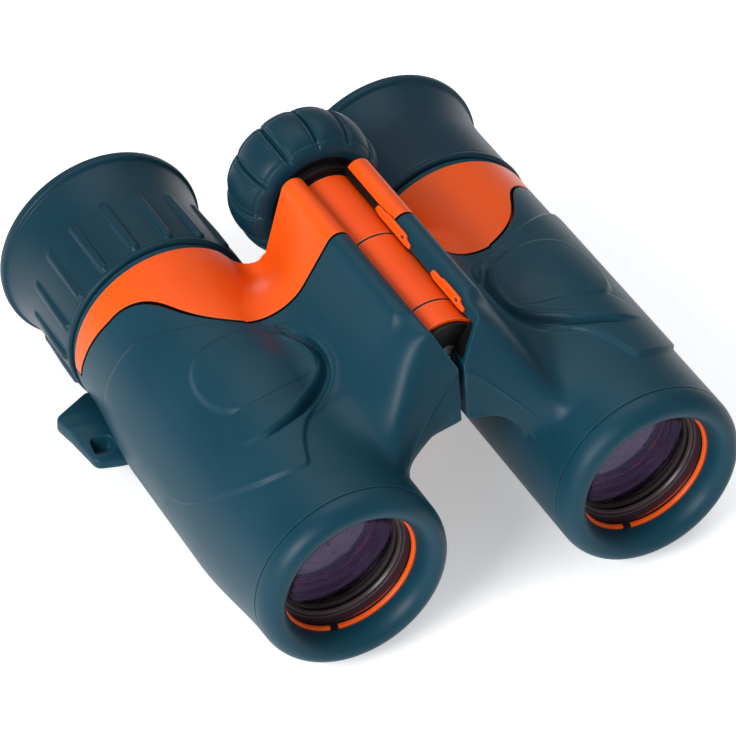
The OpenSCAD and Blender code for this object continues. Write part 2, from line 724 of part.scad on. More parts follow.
// Hollow hinge shaft with a slot for each finger and a keyway for the slider
module shaft() {
  channel = finger_width / 2 + body_gap;
  left_turn = asin(channel / shaft_bore_r);
  key_half = key_length / 2 + focus_travel + body_gap;
  difference() {
    at_hinge() ring(shaft_bore_r, shaft_r, tube_front, shaft_rear);
    mirror([1, 0, 0]) arm_box(0, tube_r, right_finger_at - channel_length / 2,
      right_finger_at + channel_length / 2, -channel, channel);
    at_hinge() translate([0, left_finger_at + channel_length / 2, 0]) rotate([90, 0, 0])
      linear_extrude(channel_length) polygon(concat([[0, 0]],
        arc([0, 0], tube_r, -arm_angle - hinge_fold - left_turn, -arm_angle + hinge_open + left_turn,
          belly_steps)));
    at_hinge() translate([-key_width / 2 - body_gap, key_at - key_half, 0])
      cube([key_width + 2 * body_gap, 2 * key_half, tube_r]);
  }
}

module slider() at_hinge() difference() {
  half = finger_length / 2 + slide_fit;
  union() {
    turned([
      [0, slider_front], [slider_r, slider_front],
      [slider_r, right_finger_at - half], [slider_groove_r, right_finger_at - half],
      [slider_groove_r, right_finger_at + half], [slider_r, right_finger_at + half],
      [slider_r, left_finger_at - half], [slider_groove_r, left_finger_at - half],
      [slider_groove_r, left_finger_at + half], [slider_r, left_finger_at + half],
      [slider_r, slider_rear], [0, slider_rear]]);
    translate([-key_width / 2, key_at - key_length / 2, slider_groove_r])
      cube([key_width, key_length, slider_r + key_reach - slider_groove_r]);
  }
  rod(screw_r + slide_fit, screw_front - focus_travel - body_gap, slider_rear + overrun);
}

module washers() at_hinge() for (s = [split_front, split_rear])
  ring(hinge_bore_r, tube_r, s - washer_t / 2, s + washer_t / 2);

module front_cap() at_hinge() difference() {
  rod(cap_r, cap_front, tube_front);
  rod(cap_screw_r, cap_front - overrun, tube_front + overrun);
  rod(cap_head_r, cap_front - overrun, cap_front + cap_head_t);
}

module front_screw() at_hinge() difference() {
  union() {
    rod(cap_head_r, cap_front, cap_front + cap_head_t);
    rod(cap_screw_r, cap_front, tube_front);
  }
  translate([-cap_screw_r, cap_front - overrun, -cap_head_t / 2])
    cube([2 * cap_screw_r, overrun + cap_head_t / 2, cap_head_t]);
}

module neck() at_hinge() turned([
  [hinge_bore_r, tube_rear + slide_fit], [tube_r, tube_rear + slide_fit], [tube_r, arm_rear + body_gap],
  [neck_r, arm_rear + body_gap], [neck_r, neck_rear], [hinge_bore_r, neck_rear]]);

module hub() at_hinge() difference() {
  rod(knob_core_r, knob_front, hub_rear);
  rod(hinge_bore_r, knob_front - overrun, hub_rear - knob_floor);
  rod(screw_r, knob_front, hub_rear + overrun);
}

// Meridian of the knob grip, with its belly at knob_r less an inset
function knob_arc(inset) = [for (i = [0:knob_steps]) let(a = mix(-90, 90, i / knob_steps))
  [knob_core_r + (knob_r - knob_core_r - inset) * pow(cos(a), knob_power),
   (knob_front + knob_rear) / 2 + knob_length / 2 * sin(a)]];

module grip() at_hinge() difference() {
  turned(knob_arc(0));
  for (i = [0:knob_lobes - 1]) rotate([0, (i + 0.5) * 360 / knob_lobes, 0])
    translate([0, 0, -groove_width / 2]) linear_extrude(groove_width) polygon(concat(
      knob_arc(groove_depth),
      [[knob_r + overrun, knob_rear + overrun], [knob_r + overrun, knob_front - overrun]]));
}

module end_cap() at_hinge() rod(knob_core_r - slide_fit, hub_rear, knob_rear - slide_fit);
module screw() at_hinge() rod(screw_r, screw_front, hub_rear);

// Nodes of the right half, the fixed one
module right_housing() color(orange) right_side() housing(right_knuckles, right_finger_at);
module right_armour() color(teal) right_side() armour();
module right_cowl() color(orange) right_side() cowl();
module right_bumper() color(teal) right_side() bumper();
module right_front_ring() color(orange) right_side() front_ring();
module right_strap_lug() color(teal) right_side() strap_lug();
module right_prism_cage() color(black) right_side() prism_cage();
module right_prisms() color(prism_glass) right_side() prisms();
module right_field_stop() color(black) right_side() field_stop();
module right_eyepiece_barrel() color(dark_teal) right_side() eyepiece_barrel();
module right_eyecup() color(dark_teal) right_side() right_cup();
module dioptre_ring() color(black) right_side() dioptre_sleeve();
module right_eye_cell() color(black) right_side() eye_cell(true);
module right_eye_lens() color(glass) right_side() eye_lens();
module right_field_lens() color(glass) right_side() field_lens();
module right_lens_spacer() color(black) right_side() lens_spacer();
module right_objective_cell() color(black) right_side() objective_cell(right_finger_at);
module right_objective_lens() color(glass) right_side() objective_lens();
module right_lens_ring() color(bronze) right_side() lens_ring();

// Nodes of the left half, which folds
module left_housing() color(orange) left_side() housing(left_knuckles, left_finger_at);
module left_armour() color(teal) left_side() armour();
module left_cowl() color(orange) left_side() cowl();
module left_bumper() color(teal) left_side() bumper();
module left_front_ring() color(orange) left_side() front_ring();
module left_strap_lug() color(teal) left_side() strap_lug();
module left_prism_cage() color(black) left_side() prism_cage();
module left_prisms() color(prism_glass) left_side() prisms();
module left_field_stop() color(black) left_side() field_stop();
module left_eyepiece_barrel() color(dark_teal) left_side() eyepiece_barrel();
module left_eyecup() color(dark_teal) left_side() left_cup();
module left_eye_cell() color(black) left_side() eye_cell(false);
module left_eye_lens() color(glass) left_side() eye_lens();
module left_field_lens() color(glass) left_side() field_lens();
module left_lens_spacer() color(black) left_side() lens_spacer();
module left_objective_cell() color(black) left_side() objective_cell(left_finger_at);
module left_objective_lens() color(glass) left_side() objective_lens();
module left_lens_ring() color(bronze) left_side() lens_ring();

// Nodes on the hinge axis
module hinge_shaft() color(grey) in_frame() shaft();
module hinge_cap() color(black) in_frame() front_cap();
module cap_screw() color(grey) in_frame() front_screw();
module hinge_washers() color(black) in_frame() washers();
module knob_neck() color(black) in_frame() neck();
module knob_hub() color(black) in_frame() hub();
module knob_grip() color(dark_teal) in_frame() grip();
module knob_cap() color(black) in_frame() end_cap();
module focus_screw() color(grey) in_frame() screw();
module focus_slider() color(black) in_frame() slider();

right_housing();
right_armour();
right_cowl();
right_bumper();
right_front_ring();
right_strap_lug();
right_prism_cage();
right_prisms();
right_field_stop();
right_eyepiece_barrel();
right_eyecup();
dioptre_ring();
right_eye_cell();
right_eye_lens();
right_field_lens();
right_lens_spacer();
right_objective_cell();
right_objective_lens();
right_lens_ring();
left_housing();
left_armour();
left_cowl();
left_bumper();
left_front_ring();
left_strap_lug();
left_prism_cage();
left_prisms();
left_field_stop();
left_eyepiece_barrel();
left_eyecup();
left_eye_cell();
left_eye_lens();
left_field_lens();
left_lens_spacer();
left_objective_cell();
left_objective_lens();
left_lens_ring();
hinge_shaft();
hinge_cap();
cap_screw();
hinge_washers();
knob_neck();
knob_hub();
knob_grip();
knob_cap();
focus_screw();
focus_slider();
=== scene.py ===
import math
import bpy
import numpy as np
from mathutils import Matrix, Vector
from mathutils.geometry import tessellate_polygon


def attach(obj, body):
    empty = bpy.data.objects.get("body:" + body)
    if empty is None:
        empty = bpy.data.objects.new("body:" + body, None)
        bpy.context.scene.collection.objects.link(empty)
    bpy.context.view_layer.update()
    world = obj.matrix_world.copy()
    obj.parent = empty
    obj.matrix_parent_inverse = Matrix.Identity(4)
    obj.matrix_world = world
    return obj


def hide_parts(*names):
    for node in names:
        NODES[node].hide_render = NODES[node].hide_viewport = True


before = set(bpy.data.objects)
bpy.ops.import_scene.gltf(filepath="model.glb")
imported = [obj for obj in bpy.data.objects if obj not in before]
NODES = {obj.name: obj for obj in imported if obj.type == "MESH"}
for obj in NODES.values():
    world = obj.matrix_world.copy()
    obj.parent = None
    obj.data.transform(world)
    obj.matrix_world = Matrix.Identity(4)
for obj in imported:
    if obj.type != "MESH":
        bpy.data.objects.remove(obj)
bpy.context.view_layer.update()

SCENE = bpy.context.scene

# Sizes in millimetres: s runs back from the objective rim, x across, and z up from the barrel axes
MM_PER_M = 1000
LENGTH = 100.9
RIM_R = 19.35
HALF = 28.0
HINGE_Z = 21.2
ARMOUR_R = 17.25
HOUSING_FRONT, HOUSING_REAR = 4.2, 73.2
ARM_REAR = 67.5
LIP_REAR = 22.9
KNUCKLE_R, RECESS_R = 7.0, 7.35
ORIGIN = np.zeros(2)
AXIS = np.array([HALF, 0.0])
HINGE = np.array([0, HINGE_Z])
HALVES = (("right", -1), ("left", 1))
TINY = 1e-9
SHARP, PLATE_SHARP = 42, 38


def smooth(v):
    k = np.clip(v, 0, 1)
    return k * k * (3 - 2 * k)


def ramp(v, start, span):
    """Smooth rise from 0 at start to 1 at start + span; a negative span falls instead."""
    return smooth((v - start) / span)


def bell(v, width):
    return np.exp(-(v / width) ** 2)


def mix(a, b, k):
    return a + (b - a) * k


def polar(c, r, a):
    a = np.radians(a)
    return np.stack([c[0] + r * np.cos(a), c[1] + r * np.sin(a)], -1)


def shares(n):
    """n even shares from 0 up to, but without, 1."""
    return np.linspace(0, 1, n + 1)[:-1]


def place(points, side):
    """Template points (x, s, z) in millimetres to the shared frame in metres."""
    p = np.asarray(points, float)
    out = np.stack([p[..., 0] * side, p[..., 1] - LENGTH / 2, p[..., 2] + RIM_R], -1)
    return out / MM_PER_M


def make_mesh(name, verts, faces, body, mats, face_mats=None, sharp=SHARP):
    """Smooth-shaded piece that rides a body; face_mats picks one of mats for each face."""
    me = bpy.data.meshes.new(name)
    me.from_pydata([tuple(v) for v in verts], [], [tuple(f) for f in faces])
    me.validate()
    me.update()
    me.polygons.foreach_set("use_smooth", [True] * len(me.polygons))
    for m in mats:
        me.materials.append(m)
    if face_mats is not None and len(face_mats) == len(me.polygons):
        me.polygons.foreach_set("material_index", [int(i) for i in face_mats])
    me.set_sharp_from_angle(angle=math.radians(sharp))
    ob = bpy.data.objects.new(name, me)
    SCENE.collection.objects.link(ob)
    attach(ob, body)
    return ob


def grid_ids(rows, cols, start=0):
    return np.arange(start, start + rows * cols).reshape(rows, cols)


def closed(ids):
    """The grid of vertex numbers with its first column repeated at the end."""
    return np.concatenate([ids, ids[:, :1]], 1)


def grid_faces(ids, flip=False):
    """Quads between the rows of a grid of vertex numbers."""
    quads = np.stack([ids[:-1, :-1], ids[:-1, 1:], ids[1:, 1:], ids[1:, :-1]], -1).reshape(-1, 4)
    return (quads[:, ::-1] if flip else quads).tolist()


# Materials
DRIFT_SCALE, DRIFT_DETAIL, DRIFT_SPREAD = 55, 5, 0.25
GRAIN_DETAIL, GRAIN_STRENGTH = 4, 0.6
GLOSS_LOW, GLOSS_HIGH = 0.3, 0.7
SCUFF_SCALE = 420
WEAR_RADIUS, WEAR_SAMPLES = 0.0004, 4
WEAR_STARTS, WEAR_FULL = 0.99, 0.8
HAZE_SCALE, HAZE_SPREAD, HAZE_LIGHTER = 90, 0.2, 1.12
CLEAN_ROUGH, HAZY_ROUGH = 0.02, 0.07
GLASS_IOR = 1.5


def srgb(r, g, b):
    def lin(c):
        c /= 255
        return c / 12.92 if c <= 0.04045 else ((c + 0.055) / 1.055) ** 2.4
    return (lin(r), lin(g), lin(b), 1)


def new_material(name):
    m = bpy.data.materials.new(name)
    m.use_nodes = True
    return m, m.node_tree, m.node_tree.nodes["Principled BSDF"]


def shader_node(tree, kind, constants=None):
    """New shader node, with constants for its sockets by name."""
    node = tree.nodes.new("ShaderNode" + kind)
    for name, value in (constants or {}).items():
        node.inputs[name].default_value = value
    return node


def noise_at(tree, place_in, constants):
    """Noise at places given by a socket."""
    noise = shader_node(tree, "TexNoise", constants)
    tree.links.new(place_in, noise.inputs["Vector"])
    return noise.outputs["Fac"]


def two_tones(tree, amount, spread, dark, light):
    """Colour between a dark and a light tone, spread to either side of the middle amount."""
    tones = shader_node(tree, "ValToRGB")
    low, high = tones.color_ramp.elements
    low.position, high.position = 0.5 - spread, 0.5 + spread
    low.color, high.color = dark, light
    tree.links.new(amount, tones.inputs["Fac"])
    return tones.outputs["Color"]


def worn_edges(tree, at, colour, wear):
    """Paler colour, broken up by scuffs, where the rounded normal leaves the true one."""
    geo = shader_node(tree, "NewGeometry")
    soft = shader_node(tree, "Bevel", {"Radius": WEAR_RADIUS})
    soft.samples = WEAR_SAMPLES
    turn = shader_node(tree, "VectorMath")
    turn.operation = "DOT_PRODUCT"
    tree.links.new(soft.outputs["Normal"], turn.inputs[0])
    tree.links.new(geo.outputs["Normal"], turn.inputs[1])
    edge = shader_node(tree, "MapRange", {"From Min": WEAR_STARTS, "From Max": WEAR_FULL})
    tree.links.new(turn.outputs["Value"], edge.inputs["Value"])
    part = shader_node(tree, "Math")
    part.operation = "MULTIPLY"
    tree.links.new(edge.outputs["Result"], part.inputs[0])
    tree.links.new(noise_at(tree, at, {"Scale": SCUFF_SCALE}), part.inputs[1])
    worn = shader_node(tree, "MixRGB", {"Color2": wear})
    tree.links.new(part.outputs["Value"], worn.inputs["Fac"])
    tree.links.new(colour, worn.inputs["Color1"])
    return worn.outputs["Color"]


def material(name, dark, light, wear, rough, rough_spread, grain, grain_height, specular=0.5, metallic=0.0):
    """Moulded surface: two-tone colour drift, fine grain bump, uneven gloss and paler worn edges."""
    m, tree, surface = new_material(name)
    at = shader_node(tree, "TexCoord").outputs["Object"]
    drift = noise_at(tree, at, {"Scale": DRIFT_SCALE, "Detail": DRIFT_DETAIL})
    colour = two_tones(tree, drift, DRIFT_SPREAD, dark, light)
    tree.links.new(worn_edges(tree, at, colour, wear), surface.inputs["Base Color"])
    gloss = shader_node(tree, "MapRange", {"From Min": GLOSS_LOW, "From Max": GLOSS_HIGH,
                                           "To Min": rough - rough_spread, "To Max": rough + rough_spread})
    tree.links.new(drift, gloss.inputs["Value"])
    tree.links.new(gloss.outputs["Result"], surface.inputs["Roughness"])
    bump = shader_node(tree, "Bump", {"Strength": GRAIN_STRENGTH, "Distance": grain_height})
    tree.links.new(noise_at(tree, at, {"Scale": grain, "Detail": GRAIN_DETAIL}), bump.inputs["Height"])
    tree.links.new(bump.outputs["Normal"], surface.inputs["Normal"])
    surface.inputs["Specular IOR Level"].default_value = specular
    surface.inputs["Metallic"].default_value = metallic
    return m


def lens_material(name, tint, coat_tint):
    """Clear glass with a tinted coating and a slight haze."""
    m, tree, surface = new_material(name)
    at = shader_node(tree, "TexCoord").outputs["Object"]
    haze = noise_at(tree, at, {"Scale": HAZE_SCALE})
    lighter = tuple(min(1, c * HAZE_LIGHTER) for c in tint[:3]) + (1,)
    tree.links.new(two_tones(tree, haze, HAZE_SPREAD, tint, lighter), surface.inputs["Base Color"])
    clean = shader_node(tree, "MapRange", {"To Min": CLEAN_ROUGH, "To Max": HAZY_ROUGH})
    tree.links.new(haze, clean.inputs["Value"])
    tree.links.new(clean.outputs["Result"], surface.inputs["Roughness"])
    surface.inputs["Transmission Weight"].default_value = 1
    surface.inputs["IOR"].default_value = GLASS_IOR
    surface.inputs["Specular Tint"].default_value = coat_tint
    return m


RUBBER = dict(rough=0.42, rough_spread=0.05, grain=2600, grain_height=0.00004, specular=0.18)
PLASTIC = dict(rough=0.36, rough_spread=0.05, grain=1500, grain_height=0.000012, specular=0.22)
HARD_BLACK = dict(rough=0.42, rough_spread=0.07, grain=1900, grain_height=0.00002, specular=0.2)
TURNED = dict(rough=0.32, rough_spread=0.08, grain=3200, grain_height=0.00001, metallic=1.0)
BRONZED = dict(rough=0.35, rough_spread=0.06, grain=1500, grain_height=0.00001)
CELL = dict(rough=0.3, rough_spread=0.06, grain=1500, grain_height=0.00001)

teal = material("rubber_teal", srgb(10, 52, 67), srgb(15, 58, 73), srgb(58, 104, 118), **RUBBER)
dark_teal = material("rubber_dark_teal", srgb(7, 44, 58), srgb(12, 50, 64), srgb(52, 96, 110), **RUBBER)
orange = material("plastic_orange", srgb(230, 79, 8), srgb(237, 86, 12), srgb(255, 150, 90), **PLASTIC)
solid_orange = material("plastic_orange_solid", srgb(230, 72, 3), srgb(237, 79, 6), srgb(255, 150, 90),
                        **PLASTIC)
black = material("plastic_black", srgb(11, 10, 11), srgb(17, 16, 17), srgb(48, 46, 48), **HARD_BLACK)
bronze = material("plastic_bronze", srgb(58, 48, 46), srgb(72, 60, 58), srgb(130, 116, 112), **BRONZED)
steel = material("steel_turned", srgb(150, 152, 156), srgb(176, 178, 182), srgb(215, 216, 218), **TURNED)
cell_black = material("cell_black", srgb(58, 50, 58), srgb(72, 62, 70), srgb(150, 132, 140), **CELL)
glass = lens_material("glass_coated", srgb(232, 218, 238), srgb(190, 165, 235))
prism_glass = lens_material("glass_prism", srgb(222, 236, 238), srgb(255, 255, 255))

# Section of an arm and its barrel; leans are degrees from upright, or from level for the belly
CREST_R, CREST_X, CREST_RISE = 2.3, 6.3, 6.3
CREST_C = np.array([CREST_X, HINGE_Z + CREST_RISE])
V_LEAN, BELLY_LEAN = 29.0, 15.0
FRONT_LEAN, REAR_LEAN, LEAN_CHANGE = 30.0, 13.0, (53, 14)
SADDLE_FRONT_R, SADDLE_REAR_R, SADDLE_FROM = 9.5, 2.8, 50
WALL_X = 0.6
BELLY_R, BELLY_DROP = 5.0, 1.9
BELLY_START = np.array([WALL_X, HINGE_Z - KNUCKLE_R - BELLY_DROP])
V_EDGE = polar(CREST_C, CREST_R, 180 - V_LEAN)
V_APEX = np.array([WALL_X, V_EDGE[1] - (V_EDGE[0] - WALL_X) / math.tan(math.radians(V_LEAN))])


def fillet_centre(start, normal, along, r):
    """Centre of an arc of radius r that touches a straight side and the barrel."""
    q = start + r * normal - AXIS
    b = q @ along
    return AXIS + q + along * (-b - math.sqrt(b * b - q @ q + (ARMOUR_R + r) ** 2))


def barrel_angle(point):
    """Angle of a point of the section round the barrel's axis, in degrees."""
    return math.degrees(math.atan2(*(point - AXIS)[::-1]))


BELLY_N = np.array([-math.sin(math.radians(BELLY_LEAN)), -math.cos(math.radians(BELLY_LEAN))])
BELLY_C = fillet_centre(BELLY_START, BELLY_N, np.array([-BELLY_N[1], BELLY_N[0]]), BELLY_R)
BELLY_ANGLE = barrel_angle(BELLY_C)

# Points in each stretch of the section, clockwise from the crest
N_CREST, N_SIDE, N_SADDLE, N_BARREL, N_BELLY, N_LINE, N_WALL, N_V = 14, 10, 52, 330, 12, 6, 22, 12
KIND = np.array(["crest"] * (N_CREST + 1) + ["side"] * N_SIDE + ["saddle"] * (N_SADDLE + 1)
                + ["barrel"] * N_BARREL + ["belly"] * (N_BELLY + 1) + ["line"] * N_LINE
                + ["wall"] * (N_WALL + 1) + ["v"] * N_V)
COUNT = len(KIND)
COLUMN = np.arange(COUNT)
BARREL = KIND == "barrel"
FIRST_BARREL = int(np.argmax(BARREL))
ARM_INDEX = np.concatenate([np.arange(FIRST_BARREL + N_BARREL, COUNT), np.arange(0, FIRST_BARREL)])
ARM_SHARE = np.zeros(COUNT)
ARM_SHARE[ARM_INDEX] = np.linspace(0, 1, len(ARM_INDEX))


def between(a, b, n):
    """n even points between two points, without them."""
    return mix(a, b, np.linspace(0, 1, n + 2)[1:-1, None])


def outline(s):
    """Arm and barrel section at s, clockwise from the crest, and each point's angle round the barrel."""
    r = float(mix(SADDLE_FRONT_R, SADDLE_REAR_R, ramp(s, SADDLE_FROM, ARM_REAR - SADDLE_FROM)))
    lean = float(mix(FRONT_LEAN, REAR_LEAN, ramp(s, *LEAN_CHANGE)))
    normal = polar(ORIGIN, 1, lean)
    c = fillet_centre(polar(CREST_C, CREST_R, lean), normal, np.array([normal[1], -normal[0]]), r)
    turn = barrel_angle(c)
    crest = polar(CREST_C, CREST_R, np.linspace(180 - V_LEAN, lean, N_CREST + 1))
    saddle = polar(c, r, np.linspace(180 + lean, 180 + turn, N_SADDLE + 1))
    angles = np.linspace(turn, BELLY_ANGLE - 360, N_BARREL + 2)[1:-1]
    barrel = polar(AXIS, ARMOUR_R, angles)
    belly = polar(BELLY_C, BELLY_R, np.linspace(BELLY_ANGLE - 180, 90 - BELLY_LEAN, N_BELLY + 1))
    wall = mix(BELLY_START, V_APEX, np.linspace(0, 1, N_WALL + 1)[:, None])
    pts = np.concatenate([crest, between(crest[-1], saddle[0], N_SIDE), saddle, barrel, belly,
                          between(belly[-1], BELLY_START, N_LINE), wall, between(V_APEX, V_EDGE, N_V)])
    a = mix(BELLY_ANGLE, turn, ARM_SHARE)
    a[BARREL] = angles
    return pts, a


# The arm's front face, at the barrel and at the end of each stretch of the arm: where it leaves the
# barrel, where it meets the arm's sides, and how hollow it is
STRETCHES = ("belly", "line", "wall", "v", "crest", "side", "saddle")
ENDS = [0] + [ARM_SHARE[np.where(KIND == k)[0][-1]] for k in STRETCHES]
START_AT = (15.4, 15.4, 15.2, 13.4, 12.2, 11.2, 10.6, 10.5)
END_AT = (16.8, 17.2, 16.7, 18.8, 21.3, 22.4, 23.9, 25.2)
POWER_AT = (1, 1, 1, 1, 1.1, 1.3, 1.7, 2.0)
END_OUTSIDE = 16.0
ROUND_SHARE = np.linspace(0, 1, N_BARREL)
# start and span of the two changes, as shares of the way round the barrel
OUTSIDE_SHARES, UNDERSIDE_SHARES = (0, 0.3), (0.8, 0.2)
OUTSIDE, UNDERSIDE = ramp(ROUND_SHARE, *OUTSIDE_SHARES), ramp(ROUND_SHARE, *UNDERSIDE_SHARES)
NOSE_START = np.interp(ARM_SHARE, ENDS, START_AT)
NOSE_START[BARREL] = mix(START_AT[-1], START_AT[0], UNDERSIDE)
NOSE_END = np.interp(ARM_SHARE, ENDS, END_AT)
NOSE_END[BARREL] = mix(mix(END_AT[-1], END_OUTSIDE, OUTSIDE), END_AT[0], UNDERSIDE)
NOSE_POWER = np.interp(ARM_SHARE, ENDS, POWER_AT)

# Palm swell under each barrel: angles in degrees round it, then where it rises and falls along it
PALM_HEIGHT, PALM_ANGLE, PALM_REACH = 2.2, -55, 95
PALM_RISE, PALM_FALL = (3, 23), (51, 19)


def palm_rise(a, s):
    """Height of the palm swell at an angle round the barrel and a place along it."""
    reach = np.cos(np.radians(90 * np.clip(abs(a - PALM_ANGLE) / PALM_REACH, 0, 1))) ** 2
    return PALM_HEIGHT * reach * ramp(s, *PALM_RISE) * (1 - ramp(s, *PALM_FALL))


def outward(row):
    """Outward direction in the section plane at each point of a row."""
    t = np.roll(row, -1, 0) - np.roll(row, 1, 0)
    n = np.stack([-t[:, 2], np.zeros(len(row)), t[:, 0]], -1)
    return n / np.maximum(np.linalg.norm(n, axis=1), TINY)[:, None]


CUT_SHARE = 0.25


def rounded(points, times=3):
    """Closed outline with its corners cut a few times."""
    p = np.array(points, float)
    for _ in range(times):
        q = np.roll(p, -1, 0)
        p = np.stack([mix(p, q, CUT_SHARE), mix(p, q, 1 - CUT_SHARE)], 1).reshape(-1, 2)
    return p


def depth_in(poly, s, u):
    """Distance inside a closed outline, negative outside it."""
    a, b = poly, np.roll(poly, -1, 0)
    q = np.stack([s, u], -1)[:, None]
    e = b - a
    k = np.clip(((q - a) * e).sum(-1) / (e * e).sum(-1), 0, 1)
    d = np.linalg.norm(q - a - k[..., None] * e, axis=-1).min(1)
    cross = (a[:, 1] > q[..., 1]) != (b[:, 1] > q[..., 1])
    rise = np.where(e[:, 1] == 0, TINY, e[:, 1])
    hit = cross & (q[..., 0] < a[:, 0] + (q[..., 1] - a[:, 1]) / rise * e[:, 0])
    return np.where(hit.sum(1) % 2 == 1, d, -d)


# Thumb rest on the barrel: places are s and the way up round the skin from the barrel's outer side
PAD = rounded([(43.2, 17.0), (46.6, 19.6), (47.4, 24), (47.2, 28), (46.6, 32), (44.6, 35.6), (41.4, 37.6),
               (37.4, 38.5), (33.8, 37.6), (31.8, 32.4), (30.1, 27), (29.5, 23), (30.3, 19.8), (33.4, 17.4),
               (38.2, 16.3)])
TONGUE = rounded([(38, 38.4), (34.2, 38.2), (31.4, 35.6), (28.4, 32), (25.2, 27.9), (23.3, 22.6),
                  (23.4, 18.2), (25.4, 13.5), (29.5, 17), (33, 25), (37, 33)])
HOLLOW = rounded([(47.4, 35.6), (45.4, 38.2), (42.4, 39.4), (38.6, 40.0), (33.6, 39.5), (29.2, 36.4),
                  (25.4, 31.4), (22.6, 24.5), (22.4, 20), (23.2, 22), (25.2, 27.6), (28.4, 31.8),
                  (31.6, 35.6), (34.2, 37.6), (38, 38.2), (41.6, 37.2), (44.6, 35.2)])
PANEL = rounded([(60, -24), (60, 8), (57, 15), (51, 27), (47.6, 36), (42, 39.4), (38, 40), (33.6, 39.4),
                 (29.4, 36.2), (25.2, 31.2), (22.6, 28.4), (19, 26.2), (15.6, 25), (13.2, 24.2), (13.4, 23),
                 (14.2, 20), (15.6, 16), (17.4, 13.2), (19.6, 10.6), (22.4, 7.4), (25.4, 4.4), (29, 1.8),
                 (33, 0), (40, -8), (50, -20)], 2)
# Heights, widths of the slopes and the share of the slope that lies outside each outline
PANEL_HEIGHT, PANEL_SLOPE, PANEL_OUT_SHARE = 0.62, 0.7, 0.5
PAD_HEIGHT, PAD_SLOPE, PAD_OUT_SHARE = 0.75, 1.5, 0.35
CROWN_HEIGHT, CROWN_SLOPE = 0.35, 8
TONGUE_HEIGHT, TONGUE_SLOPE, TONGUE_OUT_SHARE = 0.5, 0.9, 0.3
HOLLOW_DEPTH, HOLLOW_SLOPE, HOLLOW_OUT_SHARE = 1.45, 1.1, 0.1
BEAD_HEIGHT, BEAD_OUT, BEAD_WIDTH = 0.22, 0.75, 0.32
# Where these fade: start and span on the way up, and along s for the hollow
PANEL_FADE, TONGUE_FADE, BEAD_FADE, HOLLOW_FADE = (-6, 8), (14.5, 8), (24, 8), (48.2, -7)
RELIEF_LOW, RELIEF_HIGH, RELIEF_FRONT, RELIEF_REAR = -30, 44, 11, 62
OUT_OF_REACH = -99.0
# The section keeps its shape up to SAME_UNTIL, so one section serves all of that stretch
SAME_UNTIL, SAME_AT = 48.0, 40.0
# Behind it, places are rounded to this many digits, so that rows share sections
SECTION_DIGITS = 2


def way_up():
    """Way round the skin at each point of the section; points past the belly lie out of reach."""
    flat, ang = outline(SAME_AT)
    way = np.full(COUNT, OUT_OF_REACH)
    way[BARREL] = np.radians(ang[BARREL]) * ARMOUR_R
    steps = np.linalg.norm(np.diff(flat[:FIRST_BARREL + 1], axis=0), axis=1)
    way[:FIRST_BARREL] = way[FIRST_BARREL] + np.cumsum(steps[::-1])[::-1]
    return way


WAY = way_up()


def relief(s):
    """Height of the thumb rest, its hollow and the stepped panel at each point of a row."""
    h = np.zeros(COUNT)
    pick = (WAY > RELIEF_LOW) & (WAY < RELIEF_HIGH) & (s > RELIEF_FRONT) & (s < RELIEF_REAR)
    if not pick.any():
        return h
    at, up = s[pick], WAY[pick]
    panel, pad, tongue, hollow = [depth_in(poly, at, up) for poly in (PANEL, PAD, TONGUE, HOLLOW)]
    panel_h = PANEL_HEIGHT * smooth(panel / PANEL_SLOPE + PANEL_OUT_SHARE) * ramp(up, *PANEL_FADE)
    pad_h = PAD_HEIGHT * smooth(pad / PAD_SLOPE + PAD_OUT_SHARE) + CROWN_HEIGHT * smooth(pad / CROWN_SLOPE)
    tongue_h = TONGUE_HEIGHT * smooth(tongue / TONGUE_SLOPE + TONGUE_OUT_SHARE) * ramp(up, *TONGUE_FADE)
    hollow_h = HOLLOW_DEPTH * smooth(hollow / HOLLOW_SLOPE + HOLLOW_OUT_SHARE) * ramp(at, *HOLLOW_FADE)
    bead_h = BEAD_HEIGHT * bell(hollow + BEAD_OUT, BEAD_WIDTH) * ramp(up, *BEAD_FADE)
    h[pick] = panel_h + np.maximum(pad_h, tongue_h) - hollow_h + bead_h
    return h


SECTIONS = {}


def skin_row(s_of, grown):
    """One row of skin points; s_of is one place or one per point, and grown the arm's share of its height."""
    s_of = np.broadcast_to(np.asarray(s_of, float), (COUNT,))
    keys = np.where(s_of <= SAME_UNTIL, SAME_AT, np.round(s_of, SECTION_DIGITS))
    flat, ang = np.zeros((COUNT, 2)), np.zeros(COUNT)
    for key in np.unique(keys):
        if key not in SECTIONS:
            SECTIONS[key] = outline(key)
        pick = keys == key
        flat[pick], ang[pick] = SECTIONS[key][0][pick], SECTIONS[key][1][pick]
    bare = polar(AXIS, ARMOUR_R, ang)
    flat[~BARREL] = mix(bare, flat, np.broadcast_to(grown, COUNT)[:, None])[~BARREL]
    # the walls follow the round recess of the hinge knuckles behind the lips
    rel = flat - HINGE
    dist = np.hypot(rel[:, 0], rel[:, 1])
    inside = (dist < RECESS_R) & (s_of > LIP_REAR) & ~BARREL
    flat[inside] = HINGE + rel[inside] / dist[inside, None] * RECESS_R
    flat[BARREL] += (palm_rise(ang, s_of)[:, None] * polar(ORIGIN, 1, ang))[BARREL]
    return np.stack([flat[:, 0], s_of, flat[:, 1]], -1)


def worked(row):
    """The row with the thumb rest and the panel raised on it."""
    return row + outward(row) * relief(row[:, 1])[:, None]


# Rows of the skin along the barrel, up to PART_AT, where the armour's upper and lower stretches part
SKIN_FRONT, NOSE_REAR, PART_AT = 4.25, 26.2, 48.0
RIM_ROWS, NOSE_ROWS, MERGE_ROWS, ARM_ROWS, REAR_ROWS, COWL_ROWS = 8, 45, 33, 88, 55, 60
NOSE_EDGE_ROW = RIM_ROWS + NOSE_ROWS


